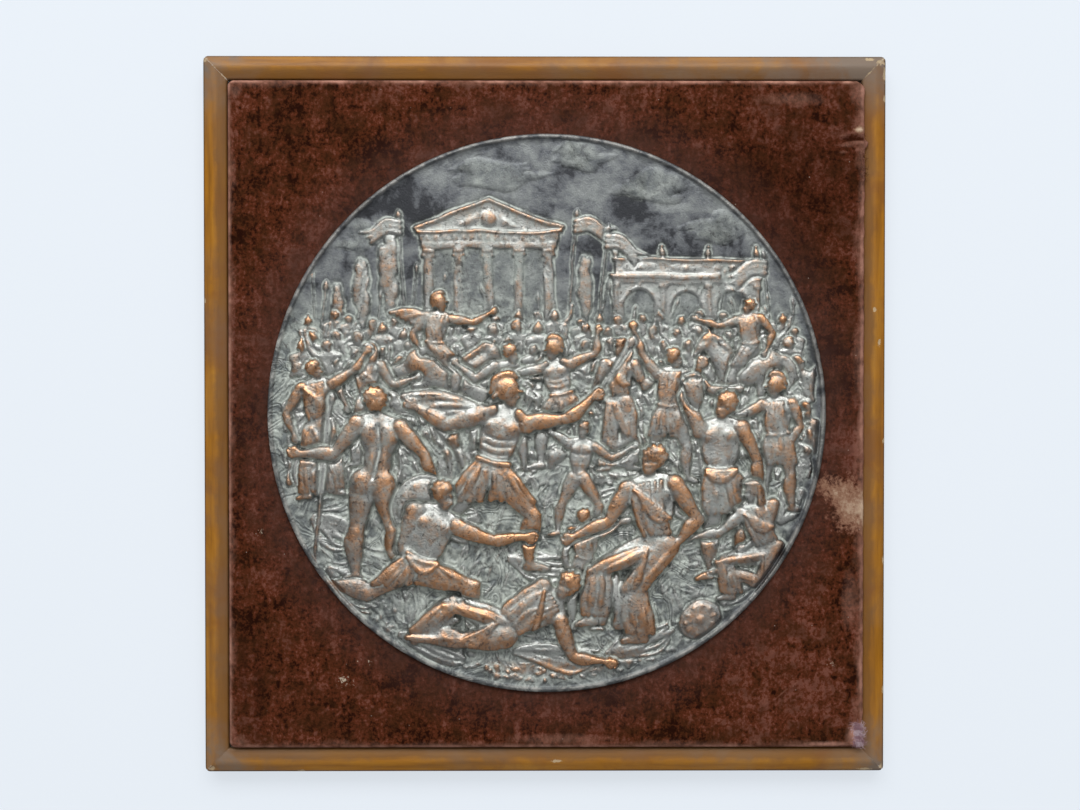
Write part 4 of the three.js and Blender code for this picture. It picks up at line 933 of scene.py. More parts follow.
def carvePicture():
    for cloud in scenery["clouds"]:
        carveCloud(*cloud)
    carveTemple(*scenery["temple"])
    carveArcade(*scenery["arcade"])
    for cypress in scenery["cypresses"]:
        carveCypress(*cypress)
    for start, end, cloth in scenery["standards"]:
        carvePole(start, end, *scenery["standardPole"], cloth)
    spears = scenery["spears"]
    for i in range(spears["count"]):
        x = spears["first"] + spears["apart"] * i + 10 * wobble(i, 30)
        tip = x + spears["scatter"] * (wobble(i, 31) - 0.5), spears["tip"] + spears["scatter"] * wobble(i, 32)
        carvePole((x, spears["foot"]), tip, *scenery["spearPole"])
    for row, (y, h) in enumerate(crowd["rows"]):
        span = math.sqrt((discRadius - crowd["margin"]) ** 2 - y * y)
        n = int(2 * span / (h * crowd["apart"]))
        for i in range(n):
            x = -span + 2 * span * (i + 0.5 + 0.25 * (row % 2)) / n + 3 * wobble(i, row) - 1.5
            hat, face, arm = (crowd[key][int(len(crowd[key]) * wobble(i, row + k))]
                              for key, k in (("hats", 12), ("faces", 16), ("arms", 20)))
            carveBust(x, y + 4.4 * wobble(i, row + 4) - 2.2, h * (0.92 + 0.16 * wobble(i, row + 8)), hat,
                      face,
                      0.5 + 0.15 * row, arm)
    for grass in scenery["grass"]:
        carveGround(*grass)
    # chased ground between the figures: curved lines that follow a slow unevenness
    lines = np.sin(13 * cloudMap(30, 51) + 5 * cloudMap(12, 52))
    lines += 0.6 * np.sin(9 * cloudMap(17, 53) + 4 * cloudMap(7, 54))
    field[:] += 0.42 * lines * (0.6 + 0.4 * cloudMap(15, 55)) * np.clip((50 - axis[:, None]) / 25, 0, 1)
    carvePebbles(*scenery["pebbles"])
    for heap in scenery["heaps"]:
        carveHeap(*heap)
    makers = {"horse": carveHorse, "figure": carveFigure, "shield": carveShield, "amphora": carveAmphora}
    for p in cast:
        if p["kind"] == "pole":
            carvePole(p["from"], p["to"], p["r"], p["base"])
        else:
            makers[p["kind"]](p)


carvePicture()


def readMap(grid, x, z):
    # value of a grid between its cells
    last = cellCount - 1.01
    i, j = np.clip((x + discRadius) / cell, 0, last), np.clip((z + discRadius) / cell, 0, last)
    i0, j0 = i.astype(int), j.astype(int)
    a, b = i - i0, j - j0
    return ((grid[j0, i0] * (1 - a) + grid[j0, i0 + 1] * a) * (1 - b)
            + (grid[j0 + 1, i0] * (1 - a) + grid[j0 + 1, i0 + 1] * a) * b)


field = 0.65 * field + 0.35 * blurBox(field, 1)  # takes the steps off the grid
# hand-worked lines: nothing quite straight or quite smooth
field = readMap(field, axis[None, :] + 0.8 * cloudMap(12, 61) + 0.3 * cloudMap(4, 62),
                axis[:, None] + 0.8 * cloudMap(12, 63) + 0.3 * cloudMap(4, 64))
# height over the lowest place within 12 mm: ground and hollows against bodies
ground, around = field, int(12 / cell)
for way in (0, 1):
    ground = np.min([np.roll(ground, k, way) for k in range(-around, around + 1)], axis=0)
lowGround = np.clip(1.35 - (field - blurBox(ground, int(4 / cell))) / 1.9, 0, 1)
hammered = (0.09 * cloudMap(1.7, 65) + 0.06 * cloudMap(0.9, 66)) * (0.2 + 0.8 * lowGround)
field += hammered * np.clip((75 - axis[:, None]) / 25, 0.3, 1)  # calmer towards the sky
field *= relief["scale"]
print("relief carved, highest", round(float(field.max()), 2))


# marks on the disc, in millimetres from its centre: painted dark reflection, darker ground and wear to copper
discMarks = {
    "band": (130.75, 4.0),  # painted dark reflection in a band inside the rim: where it starts, and how far on it is darkest
    "dull": (100.0, 38.0, 60.0),  # darker ground: the same, and how far down
    "strip": {"across": 8.0, "up": -127.0, "half": 42.0, "thick": 4.5, "bow": 0.0035},  # rubbed to copper
}


def buildDisc(material):
    # rings of 6, 12, 18 ... points, a raised rim, the side and a flat back
    inside = discRadius - relief["rim"]
    rings = int(inside / relief["ring"])
    spacing = inside / rings
    xs, zs, faces3 = [np.zeros(1)], [np.zeros(1)], []
    first = 1
    for k in range(1, rings + 1):
        a = 2 * math.pi * np.arange(6 * k) / (6 * k)
        xs.append(k * spacing * np.cos(a))
        zs.append(k * spacing * np.sin(a))
        side, step = np.meshgrid(np.arange(6), np.arange(k), indexing="ij")
        before = first - 6 * (k - 1) if k > 1 else 0
        inner = before + (side * (k - 1) + step) % max(1, 6 * (k - 1))
        innerNext = before + (side * (k - 1) + step + 1) % max(1, 6 * (k - 1))
        outer, outerNext = first + (side * k + step), first + (side * k + step + 1) % (6 * k)
        faces3.append(np.stack([inner, outer, outerNext], -1).reshape(-1, 3))
        if k > 1:
            faces3.append(np.stack([inner, outerNext, innerNext], -1)[:, :-1].reshape(-1, 3))
        first += 6 * k
    x, z = np.concatenate(xs), np.concatenate(zs)
    fade = np.clip((discRadius - 3.2 - np.hypot(x, z)) / 2.2, 0, 1)
    depth = readMap(field, x, z) * fade
    n = 6 * rings
    a = 2 * math.pi * np.arange(n) / n
    level = relief["back"] + relief["plate"]
    edge = [(2.4, 0.35), (1.9, 0.85), (1.3, 1.0), (0.6, 0.8), (0.1, 0.35), (0, -0.1),
            (0, -relief["plate"])]  # rim's profile: distance from the outside, height over the plate
    ringStart = first - n
    allX, allZ, allDepth = [x], [z], [depth]
    for inset, lift in edge:
        r = discRadius - inset
        allX.append(r * np.cos(a))
        allZ.append(r * np.sin(a))
        allDepth.append(np.full(n, lift))
        now = ringStart + np.arange(n)
        following = ringStart + (np.arange(n) + 1) % n
        faces3.append(np.stack([now, now + n, following + n], -1))
        faces3.append(np.stack([now, following + n, following], -1))
        ringStart += n
    points = np.stack([np.concatenate(allX) + relief["across"], np.concatenate(allDepth) + level,
                       np.concatenate(allZ) + relief["up"]], 1)
    points = np.vstack([points, [relief["across"], relief["back"], relief["up"]]])
    middle = len(points) - 1
    now = ringStart + np.arange(n)
    faces3.append(np.stack([now, np.full(n, middle), ringStart + (np.arange(n) + 1) % n], -1))
    faces3 = np.concatenate(faces3)
    piece = addPiece("reliefDisc", points, faces3.tolist(), material)
    thin = piece.modifiers.new("thin", "DECIMATE")
    thin.ratio = min(1.0, relief["triangles"] / len(faces3))
    bpy.context.view_layer.update()
    mesh = bpy.data.meshes.new_from_object(piece.evaluated_get(bpy.context.evaluated_depsgraph_get()))
    piece.modifiers.remove(thin)
    piece.data = mesh
    mesh.polygons.foreach_set("use_smooth", [True] * len(mesh.polygons))
    mesh.set_sharp_from_angle(angle=math.radians(75))
    # worn high places and crevices, from the carved map
    co = np.zeros(len(mesh.vertices) * 3)
    mesh.vertices.foreach_get("co", co)
    co = co.reshape(-1, 3) / mm
    x, z = co[:, 0] - relief["across"], co[:, 2] - relief["up"]
    broad, wide, near = field, field, field
    for _ in range(2):
        broad, wide = blurBox(broad, int(10 / cell)), blurBox(wide, int(4.5 / cell))
        near = blurBox(near, max(1, int(0.9 / cell)))
    crevice = np.clip((near - field) / 0.4, 0, 1)
    sky = np.clip((axis[:, None] - 40) / 22, 0, 1) * np.clip(1.1 - np.abs(field) / 0.7, 0, 1)
    raised = (field - wide) / 12 + (field - broad) / 8.5 + (field - near) * 0.12
    # painted dark reflection in a band inside the rim at the right, darker ground low down, a strip rubbed to
    # copper at the bottom
    out = np.hypot(x, z)
    (start, reach), (dullStart, dullReach, dullDown), rub = discMarks.values()
    band = np.clip((out - start) / reach, 0, 1)
    band = band * np.clip(0.45 + 0.5 * np.cos(np.arctan2(z, x) + 0.2), 0, 1)
    dull = np.clip((out - dullStart) / dullReach, 0, 1) * np.clip(-z / dullDown, 0, 1)
    flange = np.maximum(band, 0.4 * dull)
    strip = np.exp(-((z - rub["up"] - rub["bow"] * x * x) / rub["thick"]) ** 2)
    strip = strip * np.exp(-((x - rub["across"]) / rub["half"]) ** 4)
    addValues(piece, "tone", np.clip(0.5 + readMap(raised, x, z) + 0.3 * strip, 0, 1))
    addValues(piece, "crevice", readMap(crevice, x, z))
    addValues(piece, "low", readMap(lowGround, x, z) * (1 - 0.8 * strip))
    addValues(piece, "sky", np.maximum(readMap(blurBox(sky, 2), x, z), flange * (1 - strip)))
    addValues(piece, "rim", np.clip((out - inside) / 0.8, 0, 1))
    print("disc", len(mesh.polygons), "triangles")
    return piece


# silvered copper: mottled slate and chalky deposit on the ground, pewter bodies polished to warm copper
# on the high places, pale dirt and black tarnish in the crevices, dark glossy tarnish flakes with painted
# dark reflection in the sky and inside the rim
silver = {
    "slate": "#6f7473",
    "deposit": "#949993",
    "pale": "#c3c8bf",
    "pewter": "#b0b0ab",
    "bronze": "#a99686",
    "copper": "#c6956f",
    "tarnish": "#4a4845",
    "skyDark": "#3c3d40",
    "skyGrey": "#65676a",
    "skyPale": "#8e918f",
    "rimDark": "#4f5051",
    "rimPale": "#a09d97",
    "lines": 75.0,  # chased lines over the slow pattern, about 1.8 mm apart
    "patterns": {
        "cloudy": (24, 4, 0.55, 0.0),
        "patch": (8, 5, 0.6, 0.6),
        "fine": (4.0, 5, 0.65, 0.4),
        "grit": (0.9, 3, 0.65, 0.0),
        "flow": (17, 2, 0.5, 0.7),
        "veil": (5.5, 5, 0.65, 0.8),
        "pits": (1.6, 3, 0.6, 0.3),
        "smear": (3.4, 4, 0.6, 0.9),
        "flakes": (19, 6, 0.6, 0.25),
    },
}
silverMaterial, tree, on = startMaterial("silvered copper", silver["patterns"],
                                         ("tone", "crevice", "low", "sky", "rim"))
worn = sway(tree, on["tone"], on["fine"], 0.9)
worn = sway(tree, worn, on["cloudy"], 0.5)
stops = [(0.52, silver["pewter"]), (0.7, silver["bronze"]), (0.88, silver["copper"])]
body = addNode(tree, rampNode, {"stops": stops}, [worn], 0)
# chased lines are level lines of a slow pattern, and stop below the buildings
lines = addNode(tree, mathNode, times, [on["flow"], silver["lines"]], 0)
lines = addNode(tree, mathNode, {"operation": "SINE"}, [lines], 0)
height = addNode(tree, "ShaderNodeSeparateXYZ", {}, [on["place"]], 2)
height = addNode(tree, mathNode, times, [height, 10.0], 0)
lower = addNode(tree, rampNode, {"stops": [(0.38, 1.0), (0.52, 0.0)]}, [height], 0)
lines = addNode(tree, mathNode, times, [lines, lower], 0)
lines = sway(tree, lines, on["fine"], 1.6)
mottle = sway(tree, on["patch"], on["fine"], 0.4)
mottle = addNode(tree, mathNode, timesPlus, [lines, 0.08, mottle], 0)
stops = [(0.36, silver["slate"]), (0.5, silver["deposit"]), (0.68, silver["pale"])]
earth = addNode(tree, rampNode, {"stops": stops}, [mottle], 0)
covered = sway(tree, on["low"], on["patch"], 0.8)
covered = addNode(tree, rampNode, {"stops": [(0.35, 0.0), (0.75, 1.0)]}, [covered], 0)
colour = addNode(tree, mixNode, rgba, {0: covered, below: body, above: earth}, 2)
veil = addNode(tree, rampNode, {"stops": [(0.46, 0.0), (0.66, 0.7)]}, [on["veil"]], 0)
colour = addNode(tree, mixNode, rgba, {0: veil, below: colour, above: linear(silver["deposit"])}, 2)
colour = paint(tree, colour, silver["tarnish"], on["pits"], [(0.58, 0.0), (0.69, 0.7)])
smear = addNode(tree, mathNode, timesPlus, [on["cloudy"], 0.35, on["smear"]], 0)
colour = paint(tree, colour, silver["tarnish"], smear, [(0.77, 0.0), (0.87, 0.7)])
# painted dark reflection with tarnish flakes on the smooth sky and inside the rim
flakes = sway(tree, on["flakes"], on["fine"], 0.3)
stops = [(0.4, silver["skyDark"]), (0.48, silver["skyGrey"]), (0.66, silver["skyPale"])]
flakes = addNode(tree, rampNode, {"stops": stops}, [flakes], 0)
colour = addNode(tree, mixNode, rgba, {0: on["sky"], below: colour, above: flakes}, 2)
# crevices hold black tarnish in some patches and pale dirt in the others
dirt = addNode(tree, mathNode, plus, [on["fine"], 0.4], 0)
dirt = addNode(tree, mathNode, times, [on["crevice"], dirt], 0)
for shade, dirtStops, patchStops in (("tarnish", [(0.3, 0.0), (0.8, 0.6)], [(0.4, 1.0), (0.5, 0.0)]),
                                     ("pale", [(0.2, 0.0), (0.75, 0.7)], [(0.42, 0.2), (0.56, 1.0)])):
    thick = addNode(tree, rampNode, {"stops": dirtStops}, [dirt], 0)
    where = addNode(tree, rampNode, {"stops": patchStops}, [on["patch"]], 0)
    caked = addNode(tree, mathNode, times, [thick, where], 0)
    colour = addNode(tree, mixNode, rgba, {0: caked, below: colour, above: linear(silver[shade])}, 2)
# deposit, veil and pale dirt are chalk, the rest is metal
chalk = addNode(tree, rampNode, {"stops": [(0.44, 0.4), (0.62, 0.8)]}, [mottle], 0)
chalk = addNode(tree, mathNode, times, [covered, chalk], 0)
thinVeil = addNode(tree, mathNode, times, [veil, 0.7], 0)
for layer in (caked, thinVeil):
    chalk = addNode(tree, mathNode, most, [chalk, layer], 0)
bright = addNode(tree, mathNode, timesPlus, [on["sky"], -0.8, 1.0], 0)
chalk = addNode(tree, mathNode, times, [chalk, bright], 0)
metal = addNode(tree, mathNode, minus, [1.0, chalk], 0)
dull = addNode(tree, mathNode, timesPlus, [chalk, 0.14, 0.4], 0)
dull = addNode(tree, mathNode, timesPlus, [covered, 0.14, dull], 0)
dull = sway(tree, dull, on["fine"], 0.3)
polished = addNode(tree, rampNode, {"stops": [(0.6, 0.0), (0.95, 1.0)]}, [worn], 0)
dull = addNode(tree, mathNode, timesPlus, [polished, -0.12, dull], 0)
stops = [(0.42, silver["rimDark"]), (0.6, silver["rimPale"])]
rimColour = addNode(tree, rampNode, {"stops": stops}, [on["patch"]], 0)
rimmed = addNode(tree, mathNode, times, [on["rim"], 0.7], 0)
colour = addNode(tree, mixNode, rgba, {0: rimmed, below: colour, above: rimColour}, 2)
deeper = addNode(tree, mathNode, timesPlus, [on["low"], 0.32, 0.05], 0)
chased = addNode(tree, mathNode, times, [lines, deeper], 0)
smooth = addNode(tree, mathNode, minus, [1.0, on["sky"]], 0)
chased = addNode(tree, mathNode, times, [chased, smooth], 0)
pitted = addNode(tree, mathNode, times, [on["grit"], 0.5], 0)
pitted = addNode(tree, mathNode, timesPlus, [on["fine"], 0.5, pitted], 0)
pitted = addNode(tree, mathNode, plus, [chased, pitted], 0)
bump = addNode(tree, "ShaderNodeBump", {}, {"Strength": 0.6, "Distance": 0.0006, "Height": pitted}, 0)
endMaterial(tree, {"Base Color": colour, "Metallic": metal, "Roughness": dull, "Normal": bump})

# worn velvet: wine-brown pile, cloudy where it was brushed two ways, bald and pale at folds and corners with
# painted sheen on the edges, painted shade and painted light in places
velvet = {
    "halfWide": 157.8,
    "halfTall": 166.5,
    "front": 13.0,
    "edge": 2.6,  # radius of the rounded edge
    "corner": 3.4,
    "hem": 1.2,
    "inner": 11.0,
    "skin": 1.4,
    "lines": 160,
    "deep": "#220b04",
    "pile": "#432110",
    "rust": "#582a18",
    "brushed": "#714538",
    "olive": "#3a200e",
    "plum": "#4c342e",
    "baldAndSheen": "#b38371",
    "faded": "#8e6a55",
    "weave": "#c9b096",  # ground cloth laid bare
    "lint": "#a89488",
    "dust": "#b9aa94",
    "sheen": "#d08f68",
    "lintSpacing": 9.0909,
    "patterns": {
        "patch": (26, 4, 0.6, 0.4),
        "brush": (6.0, 5, 0.7, 0.3),
        "streaks": (2.6, 4, 0.65, 0.0, 1.0, 1.0, 0.55),
        "pile": (1.5, 3, 0.7, 0.0),
        "sideways": (5.5, 3, 0.6, 0.0, 0.22, 1.0, 1.0),  # pile brushed sideways
        "downwards": (5.0, 3, 0.6, 0.0, 1.0, 1.0, 0.2),
        "tint": (13, 4, 0.65, 0.5),
    },
}
velvetMaterial, tree, on = startMaterial("worn velvet", velvet["patterns"],
                                         ("edge", "faded", "near", "shade", "dust", "bloom"))
blotch = addNode(tree, mathNode, times, [on["brush"], 0.4], 0)
blotch = addNode(tree, mathNode, timesPlus, [on["patch"], 0.6, blotch], 0)
for pattern, share in (("sideways", 0.3), ("downwards", 0.3), ("streaks", 0.45), ("pile", 0.6)):
    blotch = sway(tree, blotch, on[pattern], share)
# painted light: lighter patches low down at the right and the left
blotch = addNode(tree, mathNode, timesPlus, [on["bloom"], 0.075, blotch], 0)
stops = [(0.37, velvet["deep"]), (0.46, velvet["pile"]), (0.56, velvet["rust"]), (0.68, velvet["brushed"])]
colour = addNode(tree, rampNode, {"stops": stops}, [blotch], 0)
colour = paint(tree, colour, velvet["olive"], on["tint"], [(0.45, 0.0), (0.62, 0.6)])
byDisc = addNode(tree, mathNode, times, [on["near"], on["brush"]], 0)
# painted shade: darker in the tear's slit, along the crease, at the upper right and in two strips at the left
inShade = addNode(tree, mathNode, times, [on["shade"], 0.8], 0)
for cover, shade in ((byDisc, "plum"), (inShade, "deep")):
    colour = addNode(tree, mixNode, rgba, {0: cover, below: colour, above: linear(velvet[shade])}, 2)
# pale where the pile is worn at the edges, with painted sheen on the rounded edges
rubbedAndSheen = addNode(tree, mathNode, times, [on["brush"], 0.6], 0)
rubbedAndSheen = addNode(tree, mathNode, plus, [on["streaks"], rubbedAndSheen], 0)
rubbedAndSheen = addNode(tree, mathNode, times, [on["edge"], rubbedAndSheen], 0)
colour = paint(tree, colour, velvet["baldAndSheen"], rubbedAndSheen, [(0.14, 0.0), (0.8, 0.9)])
threadbare = on["faded"]
for pattern, share in (("brush", 0.9), ("streaks", 0.7), ("pile", 0.9)):
    threadbare = sway(tree, threadbare, on[pattern], share)
stops = [(0.2, velvet["brushed"]), (0.4, velvet["faded"]), (0.7, velvet["weave"])]
weave = addNode(tree, mathNode, times, [threadbare, 0.5], 0)
weave = addNode(tree, rampNode, {"stops": stops}, [weave], 0)
bare = addNode(tree, rampNode, {"stops": [(0.42, 0.0), (0.72, 0.9)]}, [threadbare], 0)
colour = addNode(tree, mixNode, rgba, {0: bare, below: colour, above: weave}, 2)
lint = addNode(tree, "ShaderNodeTexVoronoi", {},
               {"Vector": on["place"], "Scale": 1 / (velvet["lintSpacing"] * mm)}, "Distance")
colour = paint(tree, colour, velvet["lint"], lint, [(0.022, 0.6), (0.036, 0.0)])
specks = addNode(tree, mathNode, timesPlus, [on["dust"], 0.3, on["pile"]], 0)
colour = paint(tree, colour, velvet["dust"], specks, [(0.79, 0.0), (0.86, 0.9)])
bump = addNode(tree, "ShaderNodeBump", {}, {"Strength": 0.6, "Distance": 0.0006, "Height": on["pile"]}, 0)
endMaterial(tree, {"Base Color": colour, "Roughness": 0.95, "Specular IOR Level": 0.05, "Sheen Weight": 0.12,
                   "Sheen Roughness": 0.45, "Sheen Tint": linear(velvet["sheen"]), "Normal": bump})

# frayed thread: pale lilac fluff pulled out of the pile
threadMaterial, tree, on = startMaterial("frayed thread", {"cloudy": (3, 2, 0.55, 0.0)})
colour = addNode(tree, rampNode, {"stops": [(0.4, "#94727a"), (0.6, "#c3adb3")]}, [on["cloudy"]], 0)
endMaterial(tree, {"Base Color": colour, "Roughness": 0.9, "Specular IOR Level": 0.1})

# varnished wood: amber glaze over straight grain, dulled by a grey film, bare and pale where chipped
rails = {
    "width": 12.25,
    "cornerRound": 3.2,
    "mitreGap": 0.03,
    "profile": [(0.0, 8.1), (0.35, 8.6), (0.71, 8.9), (2.2, 9.6), (5.5, 10.75), (6.6, 10.7), (10.8, 9.6),
                (11.8, 9.2), (12.25, 8.8)],  # inset from the outside, height above the back
    "soften": 0.5,
    "spacing": 1.2,
    "dark": "#7a4d12",
    "amber": "#a36a14",
    "light": "#b37a20",
    "slope": "#6c461a",  # painted shade: the inner slope is darker
    "russet": "#7a4a1e",
    "film": "#7b6a5b",
    "border": "#3f3020",
    "raw": "#bda684",
    "grain": {"fibre": (0.8, 4, 0.6), "streak": (4.2, 4, 0.55)},  # width in millimetres, detail, roughness
    "patterns": {
        "grime": (14, 4, 0.6, 0.4),
        "speck": (1.3, 3, 0.65, 0.0),
        "russet": (30, 4, 0.6, 0.5),
    },
}
woodMaterial, tree, on = startMaterial("varnished wood", rails["patterns"],
                                       ("along", "across", "film", "chip"))
drawn = addNode(tree, mathNode, times, [on["along"], 0.08], 0)  # grain drawn out along the rail
drawn = addNode(tree, "ShaderNodeCombineXYZ", {}, [drawn, on["across"]], 0)
for label, (size, detail, rough) in rails["grain"].items():
    on[label] = addNode(tree, "ShaderNodeTexNoise", {}, {
        "Vector": drawn, "Scale": 1 / (size * mm), "Detail": detail, "Roughness": rough}, "Fac")
stops = [(0.25, rails["dark"]), (0.5, rails["amber"]), (0.75, rails["light"])]
colour = addNode(tree, rampNode, {"stops": stops}, [on["streak"]], 0)
colour = paint(tree, colour, rails["dark"], on["fibre"], [(0.36, 0.18), (0.5, 0.0)])
inward = addNode(tree, mathNode, times, [on["across"], 1 / (rails["width"] * mm)], 0)
# painted shade: the rail grows darker towards its inner slope
slopeShade = sway(tree, inward, on["grime"], 0.5)
colour = paint(tree, colour, rails["slope"], slopeShade, [(0.42, 0.0), (0.62, 0.7)])
colour = paint(tree, colour, rails["russet"], on["russet"], [(0.5, 0.0), (0.66, 0.6)])
filmed = addNode(tree, rampNode, {"stops": [(0.36, 0.3), (0.64, 1.0)]}, [on["grime"]], 0)
filmed = addNode(tree, mathNode, times, [on["film"], filmed], 0)
colour = addNode(tree, mixNode, rgba, {0: filmed, below: colour, above: linear(rails["film"])}, 2)
# painted shade: dark at the inner edge beside the velvet, and darkened along the outer edge too
colour = paint(tree, colour, rails["border"], inward, [(0.02, 0.75), (0.09, 0.0), (0.9, 0.0), (1.0, 0.55)])
colour = paint(tree, colour, rails["dark"], on["speck"], [(0.67, 0.0), (0.75, 0.5)])
bare = sway(tree, on["chip"], on["speck"], 1.5)
bare = addNode(tree, rampNode, {"stops": [(0.42, 0.0), (0.66, 0.85)]}, [bare], 0)
colour = addNode(tree, mixNode, rgba, {0: bare, below: colour, above: linear(rails["raw"])}, 2)
gloss = addNode(tree, mathNode, timesPlus, [filmed, 0.15, 0.38], 0)
gloss = addNode(tree, mathNode, timesPlus, [bare, 0.3, gloss], 0)
bump = addNode(tree, "ShaderNodeBump", {}, {"Strength": 0.2, "Distance": 0.0003, "Height": on["fibre"]}, 0)
endMaterial(tree, {"Base Color": colour, "Roughness": gloss, "Specular IOR Level": 0.22, "Coat Weight": 0.06,
                   "Coat Roughness": 0.3, "Normal": bump})

# bare wood: dry brown softwood of the back, with long open grain
backing = {
    "dark": "#5d4227",
    "pale": "#9b7a50",
    "stain": "#4a3826",
    "patterns": {
        "grain": (2.4, 4, 0.6, 0.0, 1.0, 1.0, 0.05),
        "stain": (60, 4, 0.6, 0.0),
    },
}
bareMaterial, tree, on = startMaterial("bare wood", backing["patterns"])
stops = [(0.32, backing["dark"]), (0.6, backing["pale"])]
colour = addNode(tree, rampNode, {"stops": stops}, [on["grain"]], 0)
colour = paint(tree, colour, backing["stain"], on["stain"], [(0.45, 0.0), (0.75, 0.6)])
bump = addNode(tree, "ShaderNodeBump", {}, {"Strength": 0.3, "Distance": 0.0004, "Height": on["grain"]}, 0)
endMaterial(tree, {"Base Color": colour, "Roughness": 0.8, "Normal": bump})
print("materials ready")


def ripple(x, z, size, seed):
    # smooth even unevenness, -1 to 1
    draw = random.Random(seed)
    waves = 6
    total = 0.0
    for _ in range(waves):
        way, start = draw.uniform(0, 2 * math.pi), draw.uniform(0, 2 * math.pi)
        pace = 2 * math.pi / (size * draw.uniform(0.7, 1.5))
        total = total + np.sin((x * math.cos(way) + z * math.sin(way)) * pace + start)
    return total / waves


def spot(x, z, px, py, wide, tall, strength=1.0):
    # soft round patch at a place in the photo
    cx, cz = fromPhoto(px, py)
    return strength * np.exp(-((x - cx) / wide) ** 2 - ((z - cz) / tall) ** 2)


# wear of the velvet, with painted shade and painted light: place in the photo, reach across and up in
# millimetres, strength
wearLightAndShade = {
    "edge": [(857, 735, 5, 7, 1.1), (862, 92, 8, 9, 0.55), (866, 150, 5, 12, 0.7), (560, 738, 40, 4, 0.35),
             (826, 744, 14, 1.6, 1.0), (240, 740, 5, 5, 0.4), (236, 92, 5, 5, 0.4), (850, 600, 7, 22, 0.35),
             (790, 100, 26, 5, 0.35)],
    "faded": [(850, 506, 12, 15, 0.95), (824, 484, 10, 7, 0.6), (864, 510, 3, 12, 0.7),
              (857, 130, 3.2, 2.2, 1.4),
              (862, 738, 3.5, 7, 0.9)],
    "dust": [(345, 680, 6, 4.5, 1.0), (262, 530, 4, 3, 0.9), (832, 662, 7, 3, 0.75), (366, 660, 7, 4, 0.7)],
    "bloom": [(800, 670, 50, 45, 1.0), (330, 690, 50, 30, 0.5)],
    "shade": [(800, 190, 45, 45, 0.5), (258, 690, 3, 26, 0.5), (244, 670, 2.5, 22, 0.4)],
    "pucker": (850, 142, 11, 11),
    "fuzz": (858, 732, 7, 9),
    "ragged": (866, 178, 6, 13),
    # the tear starts from a row of the photo, the other values and the crease are in millimetres
    "tear": {"row": 144, "slope": 0.06, "end": 152.0, "lip": 144.0, "slit": 146.0},
    "crease": {"foot": (101.0, -153.0), "slope": 1.42, "middle": -140.0, "reach": 11.0, "fold": -2.3},
}


def alongCrease(x, z, shift, wide):
    # soft line beside the crease
    bend = wearLightAndShade["crease"]
    aside = x - bend["foot"][0] - shift - bend["slope"] * (z - bend["foot"][1])
    return np.exp(-(aside / wide) ** 2) * np.exp(-((z - bend["middle"]) / bend["reach"]) ** 2)


